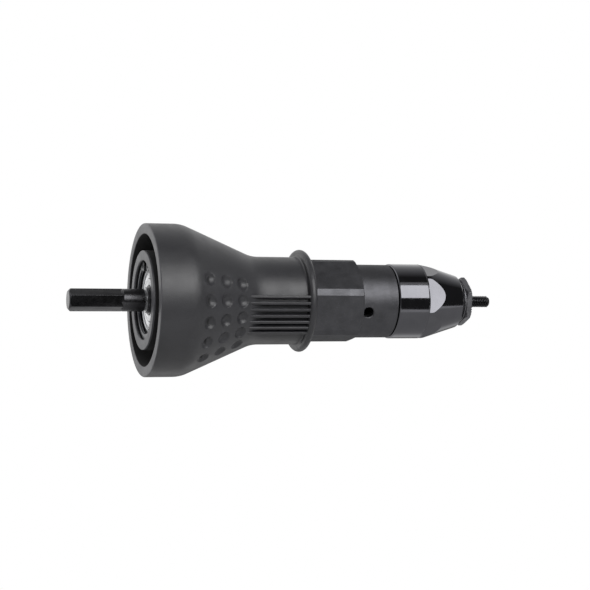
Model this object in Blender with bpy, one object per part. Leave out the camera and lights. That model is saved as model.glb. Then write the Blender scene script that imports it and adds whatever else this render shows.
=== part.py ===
"""Rivet nut tool for a cordless drill.

The tool's axis is X: the hexagonal shank starts at the origin and the threaded mandrel ends
at the far end. Sizes are in millimetres and become metres when a mesh is made. Angles round
the axis are in degrees from the front (-Y) upwards (+Z). Everything turned is a closed
outline of (x, radius) points, spun about the axis.
"""
import math

import bmesh
import bpy
from mathutils import Matrix, Vector

MM = 0.001

# Clearances
SEAT_GAP = 0.3
RUN_GAP = 0.15
BALL_GAP = 0.25

# How far a cutter runs past the face it cuts, or a joined piece runs into its neighbour
PAST = 1.0

# Facets round the axis
FINE = 40
MEDIUM = 30
COARSE = 24
BALL_SEGMENTS = 8
BALL_RINGS = 6
TRACK_STEPS = 4
DIMPLE_SEGMENTS = 10
DIMPLE_RINGS = 12
EYE_SEGMENTS = 12
CIRCLIP_STEPS = 52

# Drive shaft, from the drill's end
SHANK_FLATS = 10.0
SHANK_HEX_LENGTH = 27.1
SHANK_TIP_CHAMFER = 1.6
SHANK_ROOT_CHAMFER = 0.4
SHANK_CORNER_ANGLE = 24.4
SHANK_ROUND_R = 5.7
SHANK_ROUND_LENGTH = 11.1
RELIEF_R = 5.3
RELIEF_LENGTH = 0.9
NECK_COLLAR_R = 6.4
SHAFT_SHOULDER_R = 9.6
SHAFT_SHOULDER_LENGTH = 3.0
FLANGE_R = 14.0
FLANGE_LENGTH = 4.0
SHAFT_SMALL_R = 7.6
LEAD_SCREW_R = 7.0
LEAD_SCREW_LENGTH = 44.0
STOP_GROOVE_R = 5.8
STOP_RING_R = 8.5
STOP_RING_THICKNESS = 1.5
STOP_RING_HALF_GAP = 2.4
SCREW_TIP_LENGTH = 2.2
SCREW_CHAMFER = 0.8

# Rear ball bearing
BEARING_BORE_R = 7.5
BEARING_OUTER_R = 17.5
BEARING_WIDTH = 11.0
BEARING_INSET = 2.7
BEARING_INNER_LAND_R = 10.75
BEARING_OUTER_LAND_R = 14.4
BEARING_EDGE = 0.6
BEARING_BORE_EDGE = 0.4
SHIELD_SEAT = 0.7
BEARING_BALL_R = 2.95
BEARING_BALLS = 8
BEARING_CAGE_WIDTH = 4.4
BEARING_CAGE_WALL = 1.4
SHIELD_THICKNESS = 0.6
SHIELD_INSET = 0.4

# Thrust ball bearing, which takes the pull
THRUST_OUTER_R = 16.0
THRUST_HEIGHT = 12.0
THRUST_PITCH_R = 11.9
THRUST_WASHER_THICKNESS = 3.6
THRUST_BALL_R = 3.0
THRUST_BALLS = 10
THRUST_CAGE_THICKNESS = 2.2
THRUST_CAGE_INNER_R = 9.3
THRUST_CAGE_OUTER_R = 14.9

# Housing
TUBE_R = 19.7
WEB_LENGTH = 6.4
WEB_CLEARANCE = 1.0
CAVITY_R = 14.0
HEX_FLATS = 39.5
HEX_CORNER_RISE = 2.05
HEX_LENGTH = 30.6
HEX_CHAMFER_LENGTH = 1.4
HEX_CHAMFER_RISE = 0.4
FLAT_ANGLE = -18.0
ROUND_R = 19.1
ROUND_LENGTH = 19.3
SPIGOT_R = 16.6
SPIGOT_LENGTH = 15.8
CROSS_HOLE_R = 2.7
CROSS_HOLE_SINK_R = 3.6
CROSS_HOLE_SETBACK = 16.5
EDGE = 0.5

# Hood
HOOD_LENGTH = 84.15
BELL_R = 38.7
BELL_LENGTH = 17.9
BELL_WALL = 5.3
BELL_BLEND_R = 17.0
CONE_END = 55.6
NECK_R = 22.55
NECK_BLEND_R = 20.0
RIM_EDGE_R = 0.8
LIP_R = 26.4
LIP_THICKNESS = 4.1
LIP_ROOT_R = 1.0
HUB_R = 25.0
HUB_PROUD = 0.6
POCKET_DEPTH = 33.0
POCKET_DRAFT = 0.6
POCKET_STRAIGHT = 15.0
POCKET_MIN_WIDTH = 1.0
POCKET_ROUND = 0.4
CONE_WALL = 4.6
HEX_POCKET_DEPTH = 3.6
GRIP_ANGLE = -18.0
DIMPLE_ROWS = 5
DIMPLE_ROW_ANGLE = 17.7
DIMPLE_COLUMNS = 3
DIMPLE_FIRST = 25.6
DIMPLE_PITCH = 9.35
DIMPLE_R = 3.1
DIMPLE_DEPTH = 1.1
RIBS = 7
RIB_ANGLE = 7.57
RIB_WIDTH = 1.7
RIB_CREST_R = 25.4
RIB_ROUND = 0.5
RIB_ROOT_BITE = 0.8
RIB_START_BITE = 0.3

# Circlip in the hood's hub
CIRCLIP_INNER_R = 17.1
CIRCLIP_BITE = 1.1
CIRCLIP_THICKNESS = 1.2
CIRCLIP_LUG_INNER_R = 15.4
CIRCLIP_HOLE_R = 1.2
CIRCLIP_HOLE_RING_R = 17.6
CIRCLIP_GAP_ANGLE = 90.0
CIRCLIP_HALF_GAP = 9.0
CIRCLIP_LUG_SPAN = 15.0

# Puller
PULLER_LENGTH = 100.0
PULLER_NECK_R = 9.6
PULLER_NECK_LENGTH = 10.3
PULLER_RELIEF_R = 9.2
PULLER_RELIEF_LENGTH = 32.0
STROKE = 7.0
BRAKE_RING_WIDTH = 3.0
BRAKE_RING_WALL = 1.5
BRAKE_RING_SETBACK = 22.0
PULLER_PIN_HOLE_R = 2.6

# Mandrel and its cap
MANDREL_R = 3.0
MANDREL_HEAD_FLATS = 11.0
MANDREL_HEAD_LENGTH = 6.5
MANDREL_REACH = 13.9
MANDREL_CHAMFER = 0.9
CAP_R = 12.2
CAP_WALL_LENGTH = 3.2
CAP_FLATS = 22.0
CAP_FLAT_LENGTH = 6.0

# Front casing
CASING_R = 19.6
CASING_STRAIGHT = 19.1
CASING_TAPER_LENGTH = 18.7
CASING_TAPER_DROP = 5.7
CASING_NOSE_CHAMFER = 1.4
CASING_SHOULDER_BLEND_R = 6.0
CASING_REAR_CHAMFER = 0.6
CASING_WALL = 3.2
CASING_FLATS = 34.8
CASING_FLAT_ANGLE = 10.0
CASING_FLAT_SETBACK = 2.2
CASING_FLOOR = 9.4
O_RING_SETBACK = 3.4
O_RING_SECTION_R = 0.6

# Nosepiece
NOSE_THREAD_R = 8.0
NOSE_THREAD_LENGTH = 8.6
NOSE_BORE_R = 3.4
NOSE_COLLAR_R = 11.0
NOSE_COLLAR_LENGTH = 0.7
NOSE_FLATS = 22.6
NOSE_FLANGE_LENGTH = 3.2
NOSE_CORNER_CHAMFER = 0.9
NOSE_CHAMFER_DROP = 1.6
NOSE_CORNER_ANGLE = 22.0
NOSE_WASHER_THICKNESS = 0.6

# Stations along the axis
HOOD_X = SHANK_HEX_LENGTH + SHANK_ROUND_LENGTH
BEARING_X = HOOD_X + BEARING_INSET
STEP_X = BEARING_X + BEARING_WIDTH + SEAT_GAP
FLANGE_X = STEP_X + SHAFT_SHOULDER_LENGTH
THRUST_X = FLANGE_X + FLANGE_LENGTH + SEAT_GAP
WEB_X = THRUST_X + THRUST_HEIGHT + SEAT_GAP
CAVITY_X = WEB_X + WEB_LENGTH
SCREW_END_X = CAVITY_X + LEAD_SCREW_LENGTH
HOOD_FRONT_X = HOOD_X + HOOD_LENGTH
HEX_X = HOOD_FRONT_X - HEX_POCKET_DEPTH + SEAT_GAP
ROUND_X = HEX_X + HEX_LENGTH
SPIGOT_X = ROUND_X + ROUND_LENGTH
HOUSING_FRONT_X = SPIGOT_X + SPIGOT_LENGTH
CASING_X = SPIGOT_X + SEAT_GAP
CASING_FRONT_X = CASING_X + CASING_STRAIGHT + CASING_TAPER_LENGTH + CASING_NOSE_CHAMFER
NOSE_WASHER_X = CASING_FRONT_X + SEAT_GAP
NOSE_X = NOSE_WASHER_X + NOSE_WASHER_THICKNESS + SEAT_GAP
NOSE_FRONT_X = NOSE_X + NOSE_COLLAR_LENGTH + NOSE_FLANGE_LENGTH
PULLER_X = CAVITY_X + STROKE + SEAT_GAP
PULLER_FRONT_X = PULLER_X + PULLER_LENGTH
MANDREL_HEAD_X = PULLER_FRONT_X - MANDREL_HEAD_LENGTH
MANDREL_END_X = NOSE_FRONT_X + MANDREL_REACH

# Radii that follow from a neighbour's
BELL_MOUTH_R = BELL_R - BELL_WALL
HEX_CORNER_R = HEX_FLATS / 2 + HEX_CORNER_RISE
HUB_BORE_R = TUBE_R + SEAT_GAP
BEARING_SEAT_R = BEARING_OUTER_R + SEAT_GAP
JOURNAL_R = BEARING_BORE_R - RUN_GAP
THRUST_SEAT_R = THRUST_OUTER_R + SEAT_GAP
WEB_BORE_R = SHAFT_SMALL_R + WEB_CLEARANCE
PULLER_R = CAVITY_R - RUN_GAP
SCREW_BORE_R = LEAD_SCREW_R + RUN_GAP
CASING_BORE_R = SPIGOT_R + SEAT_GAP
NOSE_HOLE_R = NOSE_THREAD_R + SEAT_GAP
CAP_BORE_R = PULLER_NECK_R + SEAT_GAP

for old in list(bpy.data.objects):
    bpy.data.objects.remove(old, do_unlink=True)


def srgb(code):
    """A colour written as hex, as linear values."""
    parts = [int(code[i:i + 2], 16) / 255 for i in (1, 3, 5)]
    linear = [c / 12.92 if c <= 0.04045 else ((c + 0.055) / 1.055) ** 2.4 for c in parts]
    return (*linear, 1.0)


def material(name, colour, roughness, metallic):
    made = bpy.data.materials.new(name)
    made.use_nodes = True
    shader = made.node_tree.nodes["Principled BSDF"]
    shader.inputs["Base Color"].default_value = srgb(colour)
    shader.inputs["Roughness"].default_value = roughness
    shader.inputs["Metallic"].default_value = metallic
    made.diffuse_color = srgb(colour)
    return made


NYLON = ("#47474a", 0.62, 0.0)
BLASTED_STEEL = ("#3d3d40", 0.5, 0.6)
GLOSS_BLACK = ("#161618", 0.14, 0.6)
OXIDE_STEEL = ("#2b2b2d", 0.38, 0.8)
BRIGHT_STEEL = ("#c9cacc", 0.22, 1.0)
SPRING_STEEL = ("#6c6d70", 0.35, 1.0)
BRASS_CAGE = ("#b08d4a", 0.35, 1.0)
RUBBER = ("#1b1b1c", 0.75, 0.0)
ACETAL = ("#d9d6cc", 0.45, 0.0)


def direction(angle):
    """The unit vector that points out from the axis at an angle round it."""
    turn = math.radians(angle)
    return Vector((0.0, -math.cos(turn), math.sin(turn)))


def place(x, radius, angle):
    """A point at x along the axis and at a radius and an angle round it, in metres."""
    return (Vector((x, 0.0, 0.0)) + direction(angle) * radius) * MM


def arc(centre_x, centre_r, radius, first, last, count):
    """Points of a round stretch of an outline, angles from +x towards +radius."""
    points = []
    for i in range(count + 1):
        turn = math.radians(first + (last - first) * i / count)
        points.append((centre_x + radius * math.cos(turn), centre_r + radius * math.sin(turn)))
    return points


def blend(before, corner, after, radius, count):
    """The corner of an outline rounded with an arc that touches both of its sides."""
    corner = Vector(corner)
    back = (Vector(before) - corner).normalized()
    ahead = (Vector(after) - corner).normalized()
    half = math.acos(max(-1.0, min(1.0, back.dot(ahead)))) / 2
    reach = radius / math.tan(half)
    centre = corner + (back + ahead).normalized() * radius / math.sin(half)
    start = corner + back * reach - centre
    end = corner + ahead * reach - centre
    sweep = start.angle_signed(end)
    points = []
    for i in range(count + 1):
        spoke = start.copy()
        spoke.rotate(Matrix.Rotation(-sweep * i / count, 2))
        points.append(tuple(centre + spoke))
    return points


def spun(outline, steps, phase=0.0):
    """A closed outline of (x, radius) points turned about the axis, as a bmesh."""
    bm = bmesh.new()
    verts = [bm.verts.new(place(x, r, phase)) for x, r in outline]
    edges = [bm.edges.new((verts[i - 1], verts[i])) for i in range(len(verts))]
    bmesh.ops.spin(bm, geom=verts + edges, cent=(0, 0, 0), axis=(1, 0, 0),
                   angle=math.tau, steps=steps, use_merge=True)
    bmesh.ops.remove_doubles(bm, verts=bm.verts, dist=1e-6)
    dropped = [f for f in bm.faces if f.calc_area() < 1e-13]
    bmesh.ops.delete(bm, geom=dropped, context="FACES_ONLY")
    loose = [e for e in bm.edges if not e.link_faces]
    bmesh.ops.delete(bm, geom=loose, context="EDGES")
    bmesh.ops.recalc_face_normals(bm, faces=bm.faces)
    return bm


def prism(corners, x0, x1):
    """A bar along the axis with flat ends, from (radius, angle) corners."""
    bm = bmesh.new()
    face = bm.faces.new([bm.verts.new(place(x0, r, a)) for r, a in corners])
    grown = bmesh.ops.extrude_face_region(bm, geom=[face])
    moved = [v for v in grown["geom"] if isinstance(v, bmesh.types.BMVert)]
    bmesh.ops.translate(bm, verts=moved, vec=((x1 - x0) * MM, 0, 0))
    bmesh.ops.recalc_face_normals(bm, faces=bm.faces)
    return bm


def hexagon(flats, angle):
    """The corners of a hexagon from its width across flats and one corner's angle."""
    corner_r = flats / 2 / math.cos(math.radians(30))
    return [(corner_r, angle + 60 * i) for i in range(6)]


def cut_hexagon(flats, corner_r, flat_angle):
    """The corners of a hexagon whose own corners are planed off."""
    apothem = flats / 2
    full_r = apothem / math.cos(math.radians(30))
    half_width = (full_r - corner_r) * math.tan(math.radians(60))
    reach = math.hypot(corner_r, half_width)
    spread = math.degrees(math.atan2(half_width, corner_r))
    corners = []
    for i in range(6):
        middle = flat_angle + 30 + 60 * i
        corners += [(reach, middle - spread), (reach, middle + spread)]
    return corners


def add_object(name, bm, finish=None, sharp=30.0):
    """An object from a bmesh, with its material, or a hidden cutter without one."""
    mesh = bpy.data.meshes.new(name)
    bm.to_mesh(mesh)
    bm.free()
    made = bpy.data.objects.new(name, mesh)
    bpy.context.scene.collection.objects.link(made)
    if finish is None:
        made.hide_render = True
        made.display_type = "WIRE"
        return made
    mesh.materials.append(material(name, *finish))
    mesh.shade_smooth()
    mesh.set_sharp_from_angle(angle=math.radians(sharp))
    return made


def combine(target, tool_bm, operation="DIFFERENCE"):
    """A Boolean on an object, with a hidden cutter made from a bmesh."""
    tool = add_object(f"{target.name}_tool_{len(target.modifiers)}", tool_bm)
    step = target.modifiers.new(operation.lower(), "BOOLEAN")
    step.operation = operation
    step.object = tool
    step.solver = "EXACT"


def merge_into(bm, other):
    """Copies another bmesh's faces into a bmesh, as a body of its own."""
    mesh = bpy.data.meshes.new("merged")
    other.to_mesh(mesh)
    other.free()
    bm.from_mesh(mesh)
    bpy.data.meshes.remove(mesh)


def ring(x0, x1, inner, outer, chamfer=0.0):
    """The outline of a washer, with its outer edges chamfered."""
    if chamfer <= 0:
        return [(x0, inner), (x0, outer), (x1, outer), (x1, inner)]
    return [(x0, inner), (x0, outer - chamfer), (x0 + chamfer, outer),
            (x1 - chamfer, outer), (x1, outer - chamfer), (x1, inner)]


def ball(x, radius_round, angle, ball_r, segments, rings, lean=0.0):
    """A ball whose poles lie along the radius at an angle, leant forward if asked."""
    bm = bmesh.new()
    bmesh.ops.create_uvsphere(bm, u_segments=segments, v_segments=rings, radius=ball_r * MM)
    pole = direction(angle) * math.cos(lean) + Vector((math.sin(lean), 0, 0))
    turn = Vector((0, 0, 1)).rotation_difference(pole).to_matrix().to_4x4()
    middle = place(x, radius_round, angle)
    bmesh.ops.transform(bm, matrix=Matrix.Translation(middle) @ turn, verts=bm.verts)
    return bm


def drill(x, angle, near_r, far_r, hole_r, far_hole_r=None, segments=24):
    """A round cutter that points out from the axis at an angle round it."""
    bm = bmesh.new()
    bmesh.ops.create_cone(bm, segments=segments, cap_ends=True, radius1=hole_r * MM,
                          radius2=(far_hole_r or hole_r) * MM, depth=(far_r - near_r) * MM)
    turn = Vector((0, 0, 1)).rotation_difference(direction(angle)).to_matrix().to_4x4()
    middle = place(x, (near_r + far_r) / 2, angle)
    bmesh.ops.transform(bm, matrix=Matrix.Translation(middle) @ turn, verts=bm.verts)
    return bm


def hood_outline():
    """The hood's section: bell, cone, neck and lip outside, pocket and hub bore inside."""
    x = HOOD_X
    front = HOOD_FRONT_X
    lip_x = front - LIP_THICKNESS
    slope = (NECK_R - BELL_R) / (CONE_END - BELL_LENGTH)
    wall_drop = CONE_WALL * math.hypot(1.0, slope)
    mouth_end = (x + POCKET_STRAIGHT, BELL_MOUTH_R - POCKET_DRAFT)
    floor_x = x + POCKET_DEPTH
    floor_r = max(HUB_R + POCKET_MIN_WIDTH, BELL_R + slope * (POCKET_DEPTH - BELL_LENGTH) - wall_drop)
    shoulder = (x + BELL_LENGTH, BELL_R)
    neck = (x + CONE_END, NECK_R)
    root = (lip_x, NECK_R)
    lip_round = LIP_THICKNESS / 2
    outline = arc(x + RIM_EDGE_R, BELL_R - RIM_EDGE_R, RIM_EDGE_R, 180, 90, 2)
    outline += blend((x, BELL_R), shoulder, neck, BELL_BLEND_R, 4)
    outline += blend(shoulder, neck, root, NECK_BLEND_R, 2)
    outline += [(lip_x - LIP_ROOT_R, NECK_R), (lip_x, NECK_R + LIP_ROOT_R)]
    outline += arc(lip_x + lip_round, LIP_R - lip_round, lip_round, 180, 0, 4)
    outline += [(front, HUB_BORE_R), (x - HUB_PROUD, HUB_BORE_R), (x - HUB_PROUD, HUB_R)]
    outline += blend((x, HUB_R), (floor_x, HUB_R), (floor_x, floor_r), POCKET_ROUND, 2)
    outline += blend((floor_x, HUB_R), (floor_x, floor_r), mouth_end, POCKET_ROUND, 2)
    outline += [mouth_end, (x + EDGE, BELL_MOUTH_R), (x, BELL_MOUTH_R + EDGE)]
    return outline


def cone_radius(offset):
    """The radius of the hood's cone at a distance from its rim."""
    share = (offset - BELL_LENGTH) / (CONE_END - BELL_LENGTH)
    return BELL_R + (NECK_R - BELL_R) * share


def dimple_cutter():
    """Shallow round dents in rows round the cone, on both sides of the hood."""
    bm = bmesh.new()
    sphere_r = (DIMPLE_R ** 2 + DIMPLE_DEPTH ** 2) / (2 * DIMPLE_DEPTH)
    lift = sphere_r - DIMPLE_DEPTH
    lean = math.atan2(BELL_R - NECK_R, CONE_END - BELL_LENGTH)
    for side in (0, 180):
        for column in range(DIMPLE_COLUMNS):
            offset = DIMPLE_FIRST + DIMPLE_PITCH * column
            x = HOOD_X + offset + lift * math.sin(lean)
            radius = cone_radius(offset) + lift * math.cos(lean)
            for row in range(DIMPLE_ROWS):
                angle = GRIP_ANGLE + side + DIMPLE_ROW_ANGLE * (row - (DIMPLE_ROWS - 1) / 2)
                merge_into(bm, ball(x, radius, angle, sphere_r, DIMPLE_SEGMENTS, DIMPLE_RINGS,
                                    lean))
    return bm


def rib(angle):
    """One grip rib, a bar along the neck with a rounded crest."""
    half = RIB_WIDTH / 2
    root_r = NECK_R - RIB_ROOT_BITE
    section = [(root_r, -half), (RIB_CREST_R - RIB_ROUND, -half),
               (RIB_CREST_R, -half + RIB_ROUND), (RIB_CREST_R, half - RIB_ROUND),
               (RIB_CREST_R - RIB_ROUND, half), (root_r, half)]
    corners = [(math.hypot(r, w), angle + math.degrees(math.atan2(w, r))) for r, w in section]
    down_cone = (BELL_R - RIB_CREST_R) / (BELL_R - NECK_R)
    start = HOOD_X + BELL_LENGTH + down_cone * (CONE_END - BELL_LENGTH) - RIB_START_BITE
    return prism(corners, start, HOOD_FRONT_X - LIP_THICKNESS / 2)


def make_hood():
    """The moulded hood: bell, hub, grip and lip, with a hexagon pocket in its front."""
    hood = add_object("hood", spun(hood_outline(), FINE), NYLON)
    ribs = bmesh.new()
    for side in (0, 180):
        for i in range(RIBS):
            merge_into(ribs, rib(GRIP_ANGLE + side + RIB_ANGLE * (i - (RIBS - 1) / 2)))
    combine(hood, ribs, "UNION")
    combine(hood, dimple_cutter())
    pocket = cut_hexagon(HEX_FLATS + 2 * SEAT_GAP, HEX_CORNER_R + SEAT_GAP, FLAT_ANGLE)
    combine(hood, prism(pocket, HOOD_FRONT_X - HEX_POCKET_DEPTH, HOOD_FRONT_X + PAST))
    groove_x = BEARING_X - SEAT_GAP - CIRCLIP_THICKNESS - SEAT_GAP
    groove = ring(groove_x - SEAT_GAP / 2, groove_x + CIRCLIP_THICKNESS + SEAT_GAP / 2,
                  HUB_BORE_R - PAST, HUB_BORE_R + CIRCLIP_BITE + SEAT_GAP)
    combine(hood, spun(groove, FINE))


def make_circlip():
    """An open ring with two eyes for the pliers, set in the hub's groove."""
    x0 = BEARING_X - SEAT_GAP - CIRCLIP_THICKNESS - SEAT_GAP
    x1 = x0 + CIRCLIP_THICKNESS
    outer = HUB_BORE_R + CIRCLIP_BITE
    start = CIRCLIP_GAP_ANGLE + CIRCLIP_HALF_GAP
    sweep = 360 - 2 * CIRCLIP_HALF_GAP
    steps = CIRCLIP_STEPS
    bm = bmesh.new()
    outer_points = []
    inner_points = []
    for i in range(steps + 1):
        travel = sweep * i / steps
        in_lug = min(travel, sweep - travel) < CIRCLIP_LUG_SPAN
        inner = CIRCLIP_LUG_INNER_R if in_lug else CIRCLIP_INNER_R
        outer_points.append(bm.verts.new(place(x0, outer, start + travel)))
        inner_points.append(bm.verts.new(place(x0, inner, start + travel)))
    for i in range(steps):
        bm.faces.new((outer_points[i], outer_points[i + 1], inner_points[i + 1], inner_points[i]))
    grown = bmesh.ops.extrude_face_region(bm, geom=list(bm.faces))
    moved = [v for v in grown["geom"] if isinstance(v, bmesh.types.BMVert)]
    bmesh.ops.translate(bm, verts=moved, vec=((x1 - x0) * MM, 0, 0))
    bmesh.ops.recalc_face_normals(bm, faces=bm.faces)
    circlip = add_object("hub_circlip", bm, SPRING_STEEL)
    eyes = bmesh.new()
    for side in (-1, 1):
        angle = CIRCLIP_GAP_ANGLE + side * (CIRCLIP_HALF_GAP + CIRCLIP_LUG_SPAN / 2)
        corners = []
        centre = place(0, CIRCLIP_HOLE_RING_R, angle) / MM
        for i in range(EYE_SEGMENTS):
            turn = math.tau * i / EYE_SEGMENTS
            y = centre.y + CIRCLIP_HOLE_R * math.cos(turn)
            z = centre.z + CIRCLIP_HOLE_R * math.sin(turn)
            corners.append((math.hypot(y, z), math.degrees(math.atan2(z, -y))))
        merge_into(eyes, prism(corners, x0 - PAST, x1 + PAST))
    combine(circlip, eyes)


def make_housing():
    """Steel body: rear tube, spanner hexagon, round front and threaded spigot."""
    rear = BEARING_X - SEAT_GAP
    outside = [(rear, 0), (rear, TUBE_R - EDGE), (rear + EDGE, TUBE_R), (ROUND_X - PAST, TUBE_R),
               (ROUND_X - PAST, ROUND_R), (SPIGOT_X - EDGE, ROUND_R), (SPIGOT_X, ROUND_R - EDGE),
               (SPIGOT_X, SPIGOT_R), (HOUSING_FRONT_X - EDGE, SPIGOT_R),
               (HOUSING_FRONT_X, SPIGOT_R - EDGE), (HOUSING_FRONT_X, 0)]
    housing = add_object("housing", spun(outside, FINE), BLASTED_STEEL)
    block = prism(cut_hexagon(HEX_FLATS, HEX_CORNER_R, FLAT_ANGLE), HEX_X, ROUND_X)
    combine(housing, block, "UNION")
    clear_r = HEX_CORNER_R + 2 * PAST
    foot_r = ROUND_R + HEX_CHAMFER_RISE / 2
    turned = [(ROUND_X - HEX_CHAMFER_LENGTH, HEX_CORNER_R + HEX_CHAMFER_RISE), (ROUND_X, foot_r),
              (ROUND_X + PAST, foot_r), (ROUND_X + PAST, clear_r),
              (ROUND_X - HEX_CHAMFER_LENGTH, clear_r)]
    combine(housing, spun(turned, FINE))
    bore = [(rear - PAST, 0), (rear - PAST, BEARING_SEAT_R), (STEP_X, BEARING_SEAT_R),
            (STEP_X, THRUST_SEAT_R), (WEB_X, THRUST_SEAT_R), (WEB_X, WEB_BORE_R),
            (CAVITY_X, WEB_BORE_R), (CAVITY_X, CAVITY_R), (HOUSING_FRONT_X + PAST, CAVITY_R),
            (HOUSING_FRONT_X + PAST, 0)]
    combine(housing, spun(bore, FINE))
    hole_x = SPIGOT_X - CROSS_HOLE_SETBACK
    combine(housing, drill(hole_x, FLAT_ANGLE, CAVITY_R - PAST, ROUND_R + PAST, CROSS_HOLE_R))
    sink_depth = CROSS_HOLE_SINK_R - CROSS_HOLE_R
    sink = drill(hole_x, FLAT_ANGLE, ROUND_R - sink_depth, ROUND_R + sink_depth, CROSS_HOLE_R,
                 CROSS_HOLE_SINK_R + sink_depth)
    combine(housing, sink)


def make_drive_shaft():
    """Hexagonal shank, journal, thrust flange and lead screw in one piece."""
    corner_r = SHANK_FLATS / 2 / math.cos(math.radians(30))
    journal_x = BEARING_X - SEAT_GAP
    relief_end = HOOD_X + RELIEF_LENGTH
    inside = SHANK_HEX_LENGTH - PAST
    step = SHANK_ROOT_CHAMFER
    outline = [(inside, 0), (inside, SHANK_FLATS / 2 - step),
               (SHANK_HEX_LENGTH, SHANK_ROUND_R - step / 2), (SHANK_HEX_LENGTH + step, SHANK_ROUND_R),
               (HOOD_X, SHANK_ROUND_R), (HOOD_X, RELIEF_R), (relief_end, RELIEF_R),
               (relief_end, NECK_COLLAR_R), (journal_x, NECK_COLLAR_R), (journal_x, JOURNAL_R),
               (STEP_X, JOURNAL_R), (STEP_X, SHAFT_SHOULDER_R), (FLANGE_X, SHAFT_SHOULDER_R),
               (FLANGE_X, FLANGE_R), (FLANGE_X + FLANGE_LENGTH, FLANGE_R),
               (FLANGE_X + FLANGE_LENGTH, SHAFT_SMALL_R), (CAVITY_X, SHAFT_SMALL_R),
               (CAVITY_X, LEAD_SCREW_R), (SCREW_END_X, LEAD_SCREW_R),
               (SCREW_END_X, STOP_GROOVE_R)]
    groove_end = SCREW_END_X + STOP_RING_THICKNESS + 2 * RUN_GAP
    tip = groove_end + SCREW_TIP_LENGTH
    outline += [(groove_end, STOP_GROOVE_R), (groove_end, LEAD_SCREW_R),
                (tip - SCREW_CHAMFER, LEAD_SCREW_R), (tip, LEAD_SCREW_R - SCREW_CHAMFER),
                (tip, 0)]
    shaft = add_object("drive_shaft", spun(outline, COARSE), OXIDE_STEEL)
    shank = prism(hexagon(SHANK_FLATS, SHANK_CORNER_ANGLE), 0, SHANK_HEX_LENGTH)
    combine(shaft, shank, "UNION")
    far_r = corner_r + PAST
    end_chamfer = [(-PAST, corner_r - SHANK_TIP_CHAMFER - PAST), (-PAST, far_r),
                   (SHANK_TIP_CHAMFER + PAST, far_r)]
    combine(shaft, spun(end_chamfer, COARSE))


def track(x, pitch_r, ball_r, land_r):
    """The round ball track of a race, from its +x side to its -x side."""
    track_r = ball_r + BALL_GAP
    first = math.degrees(math.asin((land_r - pitch_r) / track_r))
    last = math.copysign(180, first) - first
    return arc(x, pitch_r, track_r, first, last, TRACK_STEPS)


def cage_with_balls(name, outline, x, pitch_r, ball_r, count):
    """A ball cage with its balls held in it, joined as one body."""
    cage = add_object(name, spun(outline, COARSE), BRASS_CAGE, sharp=50)
    balls = bmesh.new()
    for i in range(count):
        merge_into(balls, ball(x, pitch_r, 360 * i / count, ball_r, BALL_SEGMENTS, BALL_RINGS))
    combine(cage, balls, "UNION")


def make_ball_bearing():
    """The shielded ball bearing that carries the shaft at the rear of the housing."""
    x0 = BEARING_X
    x1 = BEARING_X + BEARING_WIDTH
    middle = (x0 + x1) / 2
    pitch_r = (BEARING_BORE_R + BEARING_OUTER_R) / 2
    seat_r = BEARING_OUTER_LAND_R + SHIELD_SEAT
    seat_depth = SHIELD_INSET + SHIELD_THICKNESS + RUN_GAP
    outer = [(x0, seat_r), (x0, BEARING_OUTER_R - BEARING_EDGE),
             (x0 + BEARING_EDGE, BEARING_OUTER_R), (x1 - BEARING_EDGE, BEARING_OUTER_R),
             (x1, BEARING_OUTER_R - BEARING_EDGE), (x1, seat_r), (x1 - seat_depth, seat_r),
             (x1 - seat_depth, BEARING_OUTER_LAND_R)]
    outer += track(middle, pitch_r, BEARING_BALL_R, BEARING_OUTER_LAND_R)
    outer += [(x0 + seat_depth, BEARING_OUTER_LAND_R), (x0 + seat_depth, seat_r)]
    add_object("bearing_outer_ring", spun(outer, COARSE), BRIGHT_STEEL)
    edge = BEARING_BORE_EDGE
    inner = [(x0, BEARING_BORE_R + edge), (x0 + edge, BEARING_BORE_R), (x1 - edge, BEARING_BORE_R),
             (x1, BEARING_BORE_R + edge), (x1, BEARING_INNER_LAND_R)]
    inner += track(middle, pitch_r, BEARING_BALL_R, BEARING_INNER_LAND_R)
    inner += [(x0, BEARING_INNER_LAND_R)]
    add_object("bearing_inner_ring", spun(inner, COARSE), BRIGHT_STEEL)
    half = BEARING_CAGE_WIDTH / 2
    wall = BEARING_CAGE_WALL / 2
    band = ring(middle - half, middle + half, pitch_r - wall, pitch_r + wall)
    cage_with_balls("bearing_ball_cage", band, middle, pitch_r, BEARING_BALL_R, BEARING_BALLS)
    for name, x in (("bearing_rear_shield", x0 + SHIELD_INSET),
                    ("bearing_front_shield", x1 - SHIELD_INSET - SHIELD_THICKNESS)):
        shield = ring(x, x + SHIELD_THICKNESS, BEARING_INNER_LAND_R + SEAT_GAP, seat_r - RUN_GAP)
        add_object(name, spun(shield, COARSE), BRIGHT_STEEL)


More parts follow.
